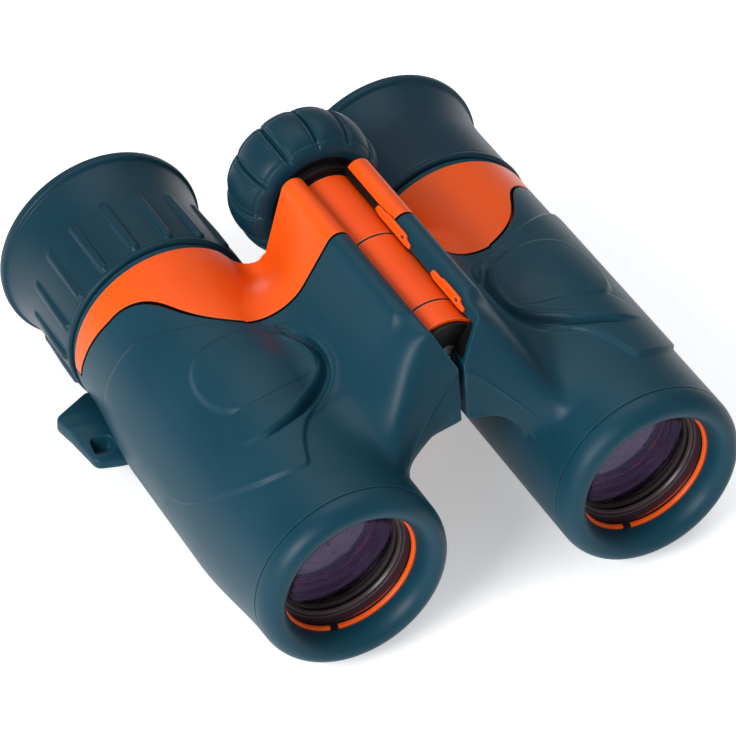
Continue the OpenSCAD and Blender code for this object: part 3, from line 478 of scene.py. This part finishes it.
def full_rows():
    """Rows round the arm and the barrel: the plain barrel, the arm's front face, and the full arm."""
    rows = [skin_row(mix(SKIN_FRONT, NOSE_START, k), 0) for k in shares(RIM_ROWS)]
    rows += [skin_row(mix(NOSE_START, NOSE_END, k), k ** NOSE_POWER) for k in shares(NOSE_ROWS)]
    rows += [skin_row(mix(NOSE_END, NOSE_REAR, k), 1) for k in shares(MERGE_ROWS)]
    return rows + [skin_row(s, 1) for s in np.linspace(NOSE_REAR, PART_AT, ARM_ROWS)]


# Softening of the nose, in columns and rows of the skin: how far the crisp edges reach, where it fades
# on the barrel, at the front and behind the nose (start and span), and how often it is smoothed
CRISP_CREST, CRISP_COLUMNS, CRISP_ROWS = 2, 9, 12
SOFT_BARREL, SOFT_FRONT, SOFT_REAR = (FIRST_BARREL + 40, -30), (6, 8), (NOSE_EDGE_ROW + 42, -14)
SOFT_STEPS = 150
# Moulding line on the nose: columns from the V's foot, width in columns, height, and where it fades
LINE_BACK, LINE_WIDTH, LINE_HEIGHT = 2, 0.8, 0.16
LINE_FRONT, LINE_REAR = (RIM_ROWS, 4), (NOSE_EDGE_ROW + 1, -2)


def soften_nose(rows):
    """Rounds the folds where the arm grows out of the barrel; the V edge and the hinge side stay crisp."""
    p = np.stack(rows)
    row = np.arange(len(p))[:, None]
    crisp = np.isin(KIND, ["belly", "line", "wall", "v"])
    crisp[:CRISP_CREST] = True
    near = np.min(np.abs(COLUMN[:, None] - np.where(crisp)[0]), axis=1)
    share = smooth(np.hypot(near / CRISP_COLUMNS, np.maximum(NOSE_EDGE_ROW - row, 0) / CRISP_ROWS))
    share = share * np.where(BARREL, ramp(COLUMN, *SOFT_BARREL), KIND != "belly")
    share = share * ramp(row, *SOFT_FRONT) * ramp(row, *SOFT_REAR)
    for _ in range(SOFT_STEPS):
        q = (np.roll(p, 1, 1) + np.roll(p, -1, 1)) / 4
        q[1:-1] += (p[:-2] + p[2:]) / 4
        p[1:-1] += ((q - p) * share[..., None])[1:-1]
    # the moulding line from the V's foot to the belly
    n = np.cross(np.gradient(p, axis=1), np.gradient(p, axis=0))
    n /= np.maximum(np.linalg.norm(n, axis=2), TINY)[..., None]
    foot = np.where(KIND == "wall")[0][-1] - LINE_BACK
    line = bell(COLUMN - foot, LINE_WIDTH) * ramp(row, *LINE_FRONT) * ramp(row, *LINE_REAR)
    p = p + n * LINE_HEIGHT * line[..., None]
    return [worked(r) for r in p]


# Steps along the skin and down its thickness that round an edge inwards
RIM_STEPS = ((0.12, 0.03), (0.2, 0.1), (0.25, 0.22), (0.25, 0.9))


def rim_rows(row, reach):
    """Rows that round a skin's edge inwards; reach scales and turns the steps along the skin."""
    n = outward(row)
    out = []
    for along, down in RIM_STEPS:
        p = row - n * down
        p[:, 1] += reach * along
        out.append(p)
    return out


# Wave edge between armour and cowl: places along s, and angles in degrees round the barrel
WAVE_LOW, WAVE_HIGH = 50.6, 67.3
LOW_ANGLE, HIGH_ANGLE, KNEE_ANGLE, TIP_ANGLE, LAST_ANGLE = 112.0, 20.0, -8.0, -26.0, -40.0
FALL_BACK, TAIL_BACK = 2.2, 1.9
SEAM = 0.4


def wave_at(a):
    """Place of the wave edge at an angle round the barrel."""
    fall = np.clip((HIGH_ANGLE - a) / (HIGH_ANGLE - KNEE_ANGLE), 0, 1)
    tail = np.clip((KNEE_ANGLE - a) / (KNEE_ANGLE - TIP_ANGLE), 0, 1)
    wave = mix(WAVE_HIGH, WAVE_LOW, ramp(a, HIGH_ANGLE, LOW_ANGLE - HIGH_ANGLE))
    return wave + FALL_BACK * fall + TAIL_BACK * tail


def run_of(picked):
    """Columns of one stretch of the section in order; it may pass the section's start."""
    cols = np.where(picked)[0]
    gaps = np.where(np.diff(cols) > 1)[0]
    return np.roll(cols, -gaps[0] - 1) if len(gaps) else cols


ROWS = full_rows()
SOFT_ROWS = soften_nose(ROWS)
ANGLES = outline(PART_AT)[1]
ON_WAVE = BARREL & (ANGLES > LAST_ANGLE) & (ANGLES < LOW_ANGLE)
EDGE = np.where(ON_WAVE, wave_at(np.clip(ANGLES, TIP_ANGLE, LOW_ANGLE)), WAVE_LOW)
UPPER = ROWS[-1][:, 2] > ARMOUR_R * math.sin(math.radians(TIP_ANGLE))
LOWER_RUN, UPPER_RUN = run_of(~UPPER), run_of(UPPER)
# the armour's upper stretch is one column wider each side, so that no slit opens beside the lower one
WIDE_RUN = np.concatenate([[(UPPER_RUN[0] - 1) % COUNT], UPPER_RUN, [(UPPER_RUN[-1] + 1) % COUNT]])
REAR_END = np.where(BARREL, HOUSING_REAR, ARM_REAR)
# The cowl runs from the arm's rear to the housing's over this share of the barrel's radius
COWL_TURN_SHARE = 0.4
FRONT_REACH, EDGE_REACH, COWL_REACH = -0.2, 1.0, 0.6
# Painted shade: black inside the V, standing in for the shade of the gap by the hinge, starts this far behind
# the nose and leaves the last columns by the crest teal
V_SHADE_BACK, V_SHADE_COLUMNS = 0.8, 2
# painted shade: rows of the armour's and the cowl's turned-in edges that are painted black for the shade in
# the gaps at those edges
ARMOUR_EDGE_SHADE_ROWS, COWL_EDGE_SHADE_ROWS = 2, 3


def armour_skin(prefix, side, body):
    """Rubber skin: full rows at the front, then a lower stretch to the rear and an upper one to the wave. Its
    walls and the inside of its V are painted black as painted shade, and so are its turned-in edges.
    """
    grid = np.stack(rim_rows(ROWS[0], FRONT_REACH)[::-1] + SOFT_ROWS)
    ids = grid_ids(len(grid), COUNT)
    verts, faces = [grid.reshape(-1, 3)], grid_faces(closed(ids), side < 0)
    s = grid[:-1, :, 1]
    # painted shade: the V's inside and the walls behind the lips are painted black for the shade in the gap
    # beside the hinge knuckles
    v_shade = (KIND == "v") & (COLUMN < COUNT - V_SHADE_COLUMNS) & (s > NOSE_END + V_SHADE_BACK)
    dark = [(v_shade | (KIND == "wall") & (s > LIP_REAR)).ravel()]
    count = ids.size
    for run, stop in ((LOWER_RUN, REAR_END), (WIDE_RUN, EDGE - SEAM)):
        part = [worked(skin_row(mix(PART_AT, stop, k), 1)) for k in np.linspace(0, 1, REAR_ROWS + 1)[1:]]
        part = np.stack(part + rim_rows(part[-1], EDGE_REACH))[:, run]
        part_ids = np.concatenate([ids[-1:, run], grid_ids(len(part), len(run), count)])
        faces += grid_faces(part_ids, side < 0)
        # painted shade: the last rows, which turn in at the skin's rear edge and at the wave, and the walls
        # are painted black for the shade in the gaps
        last = np.arange(len(part))[:, None] >= len(part) - ARMOUR_EDGE_SHADE_ROWS
        dark.append((last | (KIND[run[:-1]] == "wall")).ravel())
        verts.append(part.reshape(-1, 3))
        count += len(part) * len(run)
    skin = make_mesh(prefix + "_armour_skin", place(np.concatenate(verts), side), faces, body,
                     [teal, black], np.concatenate(dark))
    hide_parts(prefix + "_armour")


def cowl_skin(prefix, side, body):
    """Orange skin from the wave edge to the rear, above the wave's tip. Its turned-in edge at the wave, its
    walls and its V are painted black as painted shade.
    """
    x = skin_row(ARM_REAR, 1)[:, 0]
    near = np.clip((x - (HALF - ARMOUR_R)) / (ARMOUR_R * COWL_TURN_SHARE), 0, 1)
    stop = np.where(np.isin(KIND, ["saddle", "barrel", "belly"]), mix(ARM_REAR, HOUSING_REAR, near), ARM_REAR)
    rows = [worked(skin_row(mix(EDGE + SEAM, stop, k), 1)) for k in np.linspace(0, 1, COWL_ROWS)]
    rows = rim_rows(rows[0], -EDGE_REACH)[::-1] + rows + rim_rows(rows[-1], COWL_REACH)
    grid = np.stack(rows)[:, UPPER_RUN]
    # painted shade: the turned-in rows at the wave and the wall and V columns are painted black for the shade
    # in the seam gap and beside the hinge
    first = np.arange(len(grid) - 1)[:, None] < COWL_EDGE_SHADE_ROWS
    dark = first | np.isin(KIND[UPPER_RUN[:-1]], ["wall", "v"])
    faces = grid_faces(grid_ids(len(grid), len(UPPER_RUN)), side < 0)
    cowl = make_mesh(prefix + "_cowl_skin", place(grid.reshape(-1, 3), side), faces, body,
                     [orange, black], dark.ravel())
    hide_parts(prefix + "_cowl")


for prefix, side in HALVES:
    armour_skin(prefix, side, prefix + "_half")
    cowl_skin(prefix, side, prefix + "_half")


# Turned pieces: profiles are (radius, s)
TURNS, RING_TURNS = 192, 240


def turned(name, profile, centre, body, mats, turns=TURNS, height=None, row_mats=None, notch=None):
    """Profile turned about an axis along Y; height adds to the radius round it. row_mats picks a material
    for each stretch of the profile, and notch is an angle and a half width that take the second one, painted
    across the whole profile as the painted shade of a notch that is not cut."""
    prof = np.asarray(profile, float)
    ang = np.linspace(0, 2 * math.pi, turns, endpoint=False)
    r = np.repeat(prof[:, :1], turns, 1)
    if height is not None:
        r = r + height(prof, ang)
    s = np.repeat(prof[:, 1:], turns, 1)
    pts = np.stack([centre[0] + r * np.cos(ang), s, centre[1] + r * np.sin(ang)], -1)
    faces = grid_faces(closed(grid_ids(len(prof), turns)))
    picks = None if row_mats is None else np.repeat(row_mats, turns)
    if notch is not None:
        picks[np.tile(np.abs(np.degrees(ang) - notch[0]) < notch[1], len(prof) - 1)] = 1
    return make_mesh(name, place(pts.reshape(-1, 3), 1), faces, body, mats, picks)


def fine(profile, step):
    """The profile with points added so that no piece is longer than step."""
    out = [profile[0]]
    for a, b in zip(profile[:-1], profile[1:]):
        n = max(1, int(math.ceil(math.dist(a, b) / step)))
        out += [tuple(mix(np.array(a), np.array(b), i / n)) for i in range(1, n + 1)]
    return out


# Bumper: half-round lip between the armour's radius and the bore, with a seat behind each side
BUMPER_MID, BUMPER_BORE, BUMPER_STEP, BUMPER_POINTS = 14.8, 12.35, 0.4, 22
BUMPER_REACH = HOUSING_FRONT - BUMPER_STEP
OUTER_SEAT = [(15.4, 4.18), (ARMOUR_R - 0.35, 4.16), (ARMOUR_R - 0.1, 4.05), (ARMOUR_R, 3.9)]
INNER_SEAT = [(BUMPER_BORE, 4.0), (12.4, 4.18), (13.5, 4.18)]


def bumper_arc(r, angles):
    """Quarter of the lip between its middle and radius r."""
    a = np.radians(angles)
    return list(zip(BUMPER_MID + (r - BUMPER_MID) * np.cos(a), BUMPER_REACH * (1 - np.sin(a))))


def bumper_profile():
    """Bumper outline from its outer seat over the front to the bore."""
    outer = bumper_arc(ARMOUR_R, np.linspace(0, 90, BUMPER_POINTS))
    inner = bumper_arc(BUMPER_BORE, np.linspace(90, 0, BUMPER_POINTS)[1:])
    return OUTER_SEAT + outer + inner + INNER_SEAT


# Rings in the aperture, with the stretches of each profile that are black (1)
LENS_RING = [(11.6, 9.18), (11.6, 7.3), (11.5, 7.2), (11.2, 7.2), (10.86, 7.62), (10.86, 7.72), (11.0, 7.8),
             (10.95, 8.3), (10.8, 8.35), (10.75, 8.9), (10.62, 9.0), (10.6, 9.18)]
LENS_RING_MATS = [1, 1, 0, 1, 1, 1, 1, 0, 0, 1, 1]
FRONT_RING = [(13.5, 5.38), (13.5, 4.24), (12.5, 4.24), (12.1, 4.3), (11.95, 4.5), (11.92, 4.9), (12.0, 4.96),
              (11.94, 5.04), (11.9, 5.38)]
FRONT_RING_MATS = [1, 1, 1, 0, 0, 0, 0, 0]
# The notch is not cut: the black painted across the whole ring at this angle is painted shade standing in for
# it
NOTCH_ANGLE, NOTCH_HALF = 258.0, 3.5

for prefix, side in HALVES:
    axis, half = (side * HALF, 0), prefix + "_half"
    piece = turned(prefix + "_bumper_skin", bumper_profile()[::-1], axis, half, [teal])
    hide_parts(prefix + "_bumper")
for prefix, side in HALVES:
    axis, cell = (side * HALF, 0), prefix + "_objective"
    ring = turned(prefix + "_lens_ring_skin", LENS_RING[::-1], axis, cell, [bronze, black],
                  row_mats=LENS_RING_MATS)
    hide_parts(prefix + "_lens_ring")
for prefix, side in HALVES:
    axis, half = (side * HALF, 0), prefix + "_half"
    ring = turned(prefix + "_front_ring_skin", FRONT_RING[::-1], axis, half,
                  [orange, black], turns=RING_TURNS, row_mats=FRONT_RING_MATS, notch=(NOTCH_ANGLE, NOTCH_HALF))
    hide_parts(prefix + "_front_ring")

# Eyecups: a bead at the front, a straight grip, a flare, and a bead and groove at the rim
CUP_FRONT, LEFT_RIM, RIGHT_RIM = 74.9, 99.4, 100.9
CUP_R, CUP_FLARE, CUP_FLARE_POWER, CUP_STEPS = 17.4, 1.2, 2.2, 26
FLARE_FROM_SHARE, FLARE_TO_SHARE = 0.5, 0.9
LEFT_INNER_R, RIGHT_INNER_R = 14.55, 16.3
CUP_LIP_R, CUP_LIP, CUP_FUNNEL, CUP_FLOOR = 17.35, 0.5, 3.6, 4.2
FUNNEL_STEPS, CUP_POINT_GAP = 10, 0.45
# (radius, distance behind the cup's front)
FRONT_BEAD = [(16.75, 0), (17.3, 0.05), (17.58, 0.25), (17.68, 0.6), (17.62, 0.95), (17.42, 1.2),
              (17.34, 1.35), (CUP_R, 1.6)]
# (radius, distance in front of the rim)
RIM_BEAD = [(18.62, 2.25), (18.72, 2.12), (19.05, 2.02), (19.25, 1.85), (19.35, 1.5), (19.35, 0.75),
            (19.22, 0.25), (18.95, 0.03), (18.6, 0), (18.2, 0), (17.7, 0.12), (CUP_LIP_R, CUP_LIP)]
EYE_HOLE = [(10.0, CUP_FLOOR), (9.6, 4.3), (9.5, 4.6), (9.5, 5.6)]
FLOOR_STEP = 0.4


def cup_profile(rim, inner_r):
    """Eyecup outline from its bore at the front, over the outside and the rim, to the eye hole."""
    span = rim - CUP_FRONT
    prof = [(inner_r, CUP_FRONT)] + [(r, CUP_FRONT + s) for r, s in FRONT_BEAD]
    prof.append((CUP_R, CUP_FRONT + span * FLARE_FROM_SHARE))
    for k in np.linspace(0, 1, CUP_STEPS)[1:]:
        prof.append((CUP_R + CUP_FLARE * k ** CUP_FLARE_POWER,
                     CUP_FRONT + span * mix(FLARE_FROM_SHARE, FLARE_TO_SHARE, k)))
    prof += [(r, rim - s) for r, s in RIM_BEAD]
    for k in np.linspace(0, 1, FUNNEL_STEPS + 1)[1:]:
        prof.append((mix(CUP_LIP_R, inner_r, smooth(k)), rim - CUP_LIP - CUP_FUNNEL * k))
    prof.append((inner_r - FLOOR_STEP, rim - CUP_FLOOR))
    return fine(prof + [(r, rim - s) for r, s in EYE_HOLE], CUP_POINT_GAP)


# Ribs on the grip of the dioptre eyecup
RIBS, RIB_PHASE, RIB_TURNS = 17, 13.6, 60
RIB_FRONT, RIB_REAR, RIB_HALF, RIB_HEIGHT = 77.2, 89.2, 0.95, 0.75
RIB_END_SHARE, RIB_ROUND, GRIP_INSIDE_R = 0.9, 0.7, 17.3
RIB_FADE, RIB_FADE_SHARE = (80, 9), 0.35


def rib_height(prof, ang):
    """Rounded ribs along the grip, lower towards the rim."""
    s = prof[:, 1:]
    outside = (prof[:, :1] > GRIP_INSIDE_R).astype(float)
    pitch = 2 * math.pi / RIBS
    first = math.pi - math.radians(RIB_PHASE)
    across = np.abs((ang - first + pitch / 2) % pitch - pitch / 2) * CUP_R
    along = np.maximum(np.maximum(RIB_FRONT - s, s - RIB_REAR), 0)
    dist = np.hypot(across[None, :], along * RIB_END_SHARE)
    shape = np.clip(1 - (dist / RIB_HALF) ** 2, 0, None) ** RIB_ROUND
    return RIB_HEIGHT * shape * (1 - RIB_FADE_SHARE * ramp(s, *RIB_FADE)) * outside


cup = turned("right_eyecup_skin", cup_profile(RIGHT_RIM, RIGHT_INNER_R)[::-1], (-HALF, 0), "dioptre",
             [dark_teal], turns=RIBS * RIB_TURNS, height=rib_height)
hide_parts("right_eyecup")
cup = turned("left_eyecup_skin", cup_profile(LEFT_RIM, LEFT_INNER_R)[::-1], (HALF, 0), "left_half",
             [dark_teal], turns=RING_TURNS)
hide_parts("left_eyecup")

# Focus knob: lobes with a double-lined groove between them and a crease near each end
KNOB_FRONT, KNOB_REAR, KNOB_R, KNOB_CORE = 69.55, 82.15, 13.7, 9.3
KNOB_MID, KNOB_HALF = (KNOB_FRONT + KNOB_REAR) / 2, (KNOB_REAR - KNOB_FRONT) / 2
KNOB_ROUND, KNOB_STEPS = 0.75, 90
LOBES, LOBE_TURNS = 12, 64
GROOVE_DEPTH, GROOVE_WIDTH = 0.75, 0.34
SCORE_DEPTH, SCORE_OFF, SCORE_WIDTH = 0.22, 0.85, 0.22
BULGE = 0.35
END_FADE, END_POWER = 1.15, 4
# depth, place as a share of half the knob's length, and width as such a share
CREASE_SHARES = ((0.35, 0.62, 0.035), (0.25, -0.8, 0.03))


def knob_profile():
    """Swollen outline of the knob from its front face to its rear one."""
    prof = []
    for a in np.linspace(-90, 90, KNOB_STEPS):
        c, s = math.cos(math.radians(a)), math.sin(math.radians(a))
        prof.append((KNOB_CORE + (KNOB_R - KNOB_CORE) * max(c, 0) ** KNOB_ROUND, KNOB_MID + KNOB_HALF * s))
    return prof


def knob_height(prof, ang):
    """Lobes between grooves, level towards both ends, and the creases round the knob."""
    t = (prof[:, 1:] - KNOB_MID) / KNOB_HALF
    pitch = 2 * math.pi / LOBES
    d = np.abs((ang + pitch / 2) % pitch - pitch / 2) * KNOB_R
    groove = GROOVE_DEPTH * bell(d, GROOVE_WIDTH) + SCORE_DEPTH * bell(d - SCORE_OFF, SCORE_WIDTH)
    bulge = BULGE * (1 - np.clip(d / (pitch * KNOB_R / 2), 0, 1)) ** 2
    fade = np.clip(END_FADE - np.abs(t) ** END_POWER, 0, 1)
    crease = sum(depth * bell(t - at, width) for depth, at, width in CREASE_SHARES)
    return -(groove + bulge)[None, :] * fade - crease * np.ones_like(ang)[None, :]


grip = turned("knob_grip_skin", knob_profile()[::-1], (0, HINGE_Z), "knob", [dark_teal],
              turns=LOBES * LOBE_TURNS, height=knob_height)
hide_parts("knob_grip")


# Strap lugs and hinge clips
def inset(loop, d):
    """Closed outline moved inwards by d (outlines run anticlockwise)."""
    t = np.roll(loop, -1, 0) - np.roll(loop, 1, 0)
    t /= np.maximum(np.linalg.norm(t, axis=1), TINY)[:, None]
    return loop + d * np.stack([-t[:, 1], t[:, 0]], -1)


def anticlockwise(loop):
    area = (loop[:, 0] * np.roll(loop[:, 1], -1) - loop[:, 1] * np.roll(loop[:, 0], -1)).sum()
    return loop if area > 0 else loop[::-1]


def plate(name, loop, hole, layers, hole_layers, to_space, body, mats, side):
    """Plate with rounded edges from an outline, with an opening; layers are (height share, inset)."""
    loop, hole = anticlockwise(loop), anticlockwise(hole)
    rings = [inset(loop, d) for _, d in layers]
    holes = [inset(hole, d) for _, d in hole_layers]
    heights = [h for h, _ in layers + hole_layers]
    verts = [to_space(q, h) for q, h in zip(rings + holes, heights)]
    ring_ids = grid_ids(len(rings), len(loop))
    hole_ids = grid_ids(len(holes), len(hole), ring_ids.size)
    faces = grid_faces(closed(ring_ids)) + grid_faces(closed(hole_ids), True)
    for which, up in ((0, False), (-1, True)):
        q, k = rings[which], holes[which][::-1]
        flat = np.concatenate([q, k])
        ids = np.concatenate([ring_ids[which], hole_ids[which][::-1]])
        for tri in tessellate_polygon([[Vector((*v, 0)) for v in q], [Vector((*v, 0)) for v in k]]):
            a = flat[list(tri)]
            turn = (a[1, 0] - a[0, 0]) * (a[2, 1] - a[0, 1]) - (a[1, 1] - a[0, 1]) * (a[2, 0] - a[0, 0])
            tri = tri if (turn > 0) == up else tri[::-1]
            faces.append([int(ids[i]) for i in tri])
    faces = [f[::-1] for f in faces] if side < 0 else faces
    return make_mesh(name, place(np.concatenate(verts), side), faces, body, mats, sharp=PLATE_SHARP)


# Lug outlines are (x, s); its top slopes down in front of a crease that runs slantwise across it
LUG = rounded([(38, 56.2), (43.2, 56.2), (46.4, 57.0), (48.7, 57.7), (49.1, 60), (50.5, 67.6), (50.9, 69.8),
               (48.9, 70.9), (44.4, 73.3), (43.4, 73.8), (38, 73.8)])
LUG_HOLE = rounded([(44.2, 59.1), (46.2, 59.0), (48.0, 58.9), (47.9, 60.4), (47.7, 62.4), (46, 62.2),
                    (44.2, 61.9), (44.2, 60.5)], 2)
LUG_LAYERS = [(0, 1.8), (0.1, 1.4), (0.3, 0.35), (0.42, 0.05), (0.5, 0), (0.8, 0), (0.9, 0.08), (0.97, 0.28),
              (1, 0.6)]
LUG_HOLE_LAYERS = [(0, 0.5), (0.1, 0.7), (0.3, 0.6), (0.45, 0.2), (0.55, 0), (0.8, 0), (0.93, -0.08),
                   (1, -0.25)]
LUG_BOTTOM, LUG_TOP = -13.2, -8.7
LUG_CREASE_X, LUG_CREASE_S, LUG_CREASE_SLANT = 47.4, 64.9, 0.2
LUG_CREASE_HEIGHT, LUG_CREASE_WIDTH = 0.2, 0.8
LUG_SLOPE, LUG_SLOPE_SPAN = 0.23, 7.5


def lug_space(q, h):
    """Points of the lug's outline at a share of its height."""
    behind = q[:, 1] - LUG_CREASE_S - LUG_CREASE_SLANT * (q[:, 0] - LUG_CREASE_X)
    top = LUG_TOP - LUG_SLOPE * np.clip(-behind, 0, LUG_SLOPE_SPAN)
    top = top + LUG_CREASE_HEIGHT * bell(behind, LUG_CREASE_WIDTH)
    return np.stack([q[:, 0], q[:, 1], mix(LUG_BOTTOM, top, h)], -1)


for prefix, side in HALVES:
    lug = plate(prefix + "_strap_lug_skin", LUG, LUG_HOLE, LUG_LAYERS, LUG_HOLE_LAYERS, lug_space,
                prefix + "_half", [teal], side)
    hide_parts(prefix + "_strap_lug")

# Clips lie on the left side of the V; outlines are (s from the clip's front or rear, way up the V)
CLIPS = ((43.6, 55.6), (24.9, 36.0))
CLIP_LOW, CLIP_HIGH = 7.45, 9.05
CLIP_FRONT = [(0, CLIP_LOW), (0, 8.0), (0.2, 8.3), (1.7, 8.45), (2.0, 8.9), (2.3, CLIP_HIGH)]
CLIP_REAR = [(-3.2, CLIP_HIGH), (-2.9, 8.75), (-0.5, 8.75), (0, 8.5), (0, CLIP_LOW)]
CLIP_HOLE = [(2.2, 7.95), (3.4, 7.95), (3.4, 8.45), (2.2, 8.45)]
CLIP_LAYERS = [(0, 0.05), (0.2, 0), (0.75, 0), (0.93, 0.06), (1, 0.16)]
CLIP_HOLE_LAYERS = [(0, 0), (0.8, 0), (1, -0.08)]
CLIP_GAP, CLIP_TOP = 0.02, 0.6


def clip_space(q, h):
    """Points of a clip's outline at a share of its thickness, on the V's slope."""
    s, r = q[:, 0], q[:, 1]
    lift = mix(CLIP_GAP, CLIP_TOP, h)
    lean = math.radians(V_LEAN)
    across = r * math.sin(lean) - lift * math.cos(lean)
    return np.stack([across, s, HINGE_Z + r * math.cos(lean) + lift * math.sin(lean)], -1)


for i, (front, rear) in enumerate(CLIPS):
    loop = rounded([(front + s, r) for s, r in CLIP_FRONT] + [(rear + s, r) for s, r in CLIP_REAR]
                   + [((front + rear) / 2, CLIP_LOW)], 1)
    hole = rounded([(front + s, r) for s, r in CLIP_HOLE], 2)
    plate("hinge_clip_%d" % (i + 1), loop, hole, CLIP_LAYERS, CLIP_HOLE_LAYERS, clip_space, "left_half",
          [orange], 1)

# Materials of the solids
PAINT = {"housing": solid_orange, "front_ring": solid_orange, "strap_lug": teal, "eyepiece_barrel": teal,
         "prisms": prism_glass, "eye_lens": glass, "field_lens": glass, "objective_lens": glass,
         "lens_ring": bronze, "hinge_shaft": steel, "cap_screw": steel, "focus_screw": steel,
         "objective_cell": cell_black, "armour": teal, "cowl": orange, "bumper": teal, "eyecup": dark_teal,
         "knob_grip": dark_teal}
for name, ob in NODES.items():
    key = name.replace("right_", "").replace("left_", "")
    ob.data.materials.clear()
    ob.data.materials.append(PAINT.get(key, black))

# Floor, sizes in metres
FLOOR_HALF, FLOOR_DROP = 3, 0.0002
WHITE = (1, 1, 1, 1)
FLOOR_COLOUR, FLOOR_ROUGH, FLOOR_GLOW = (0.95, 0.95, 0.95, 1), 0.9, 0.4
corners = [(-FLOOR_HALF, -FLOOR_HALF, 0), (FLOOR_HALF, -FLOOR_HALF, 0), (FLOOR_HALF, FLOOR_HALF, 0),
           (-FLOOR_HALF, FLOOR_HALF, 0)]
floor_mesh = bpy.data.meshes.new("floor")
floor_mesh.from_pydata(corners, [], [(0, 1, 2, 3)])
floor = bpy.data.objects.new("floor", floor_mesh)
SCENE.collection.objects.link(floor)
floor.location.z = -FLOOR_DROP
pale, _, pale_surface = new_material("floor_pale")
pale_surface.inputs["Roughness"].default_value = FLOOR_ROUGH
pale_surface.inputs["Base Color"].default_value = FLOOR_COLOUR
pale_surface.inputs["Emission Color"].default_value = WHITE
pale_surface.inputs["Emission Strength"].default_value = FLOOR_GLOW
floor_mesh.materials.append(pale)

# World: a dim cool light on the object, and white where the camera or a ray through glass sees it
SKY, SKY_STRENGTH = (0.93, 0.96, 1, 1), 0.42
world = bpy.data.worlds.new("studio")
SCENE.world = world
world.use_nodes = True
tree = world.node_tree
sky = tree.nodes["Background"]
sky.inputs["Color"].default_value = SKY
sky.inputs["Strength"].default_value = SKY_STRENGTH
white = shader_node(tree, "Background", {"Color": WHITE, "Strength": 1})
path = shader_node(tree, "LightPath")
either = shader_node(tree, "Math")
either.operation = "MAXIMUM"
tree.links.new(path.outputs["Is Camera Ray"], either.inputs[0])
tree.links.new(path.outputs["Is Transmission Ray"], either.inputs[1])
blend = shader_node(tree, "MixShader")
tree.links.new(either.outputs[0], blend.inputs["Fac"])
tree.links.new(sky.outputs[0], blend.inputs[1])
tree.links.new(white.outputs[0], blend.inputs[2])
tree.links.new(blend.outputs[0], tree.nodes["World Output"].inputs["Surface"])

# Lights: name, place in metres, size in metres, power in watts, colour
AIM = (0, 0, 0.02)
LIGHTS = (("key", (-0.77, -0.36, 0.5), (0.42, 0.42), 9.0, (1, 1, 1)),
          ("fill", (0.6, -0.55, 0.5), (0.6, 0.6), 0.3, (0.93, 0.96, 1)),
          ("top", (0.05, 0.35, 0.85), (0.7, 0.5), 2.5, (1, 1, 1)))
for name, at, size, power, colour in LIGHTS:
    light = bpy.data.lights.new(name, "AREA")
    light.shape = "RECTANGLE"
    light.size, light.size_y = size
    light.energy = power
    light.color = colour
    lamp = bpy.data.objects.new(name, light)
    SCENE.collection.objects.link(lamp)
    lamp.location = at
    lamp.rotation_euler = (Vector(AIM) - Vector(at)).to_track_quat("-Z", "Y").to_euler()

# Camera fitted to the photo: angles, shift and distance in millimetres, focal length in pixels, sensor in
# millimetres, clipping in metres
AZ, EL, ROLL = math.radians(-28.95), math.radians(39.948), math.radians(1.717)
SHIFT_X, SHIFT_Y, DISTANCE = -23.604, 27.574, 677.867
FOCAL_PX, PHOTO_PX, SENSOR = 4110.252, 736, 36
NEAR, FAR = 0.01, 20
back = np.array([math.sin(AZ) * math.cos(EL), -math.cos(AZ) * math.cos(EL), math.sin(EL)])
level = np.array([math.cos(AZ), math.sin(AZ), 0])
upright = np.cross(back, level)
right = math.cos(ROLL) * level + math.sin(ROLL) * upright
up = -math.sin(ROLL) * level + math.cos(ROLL) * upright
eye = place(back * DISTANCE + right * SHIFT_X + up * SHIFT_Y, 1)
camera_data = bpy.data.cameras.new("camera")
camera_data.sensor_width = SENSOR
camera_data.lens = FOCAL_PX / PHOTO_PX * SENSOR
camera_data.clip_start, camera_data.clip_end = NEAR, FAR
camera = bpy.data.objects.new("camera", camera_data)
SCENE.collection.objects.link(camera)
axes = np.eye(4)
axes[:3] = np.stack([right, up, back, eye], -1)
camera.matrix_world = Matrix(axes.tolist())
SCENE.camera = camera
SCENE.view_settings.view_transform = "Standard"

bpy.context.view_layer.update()
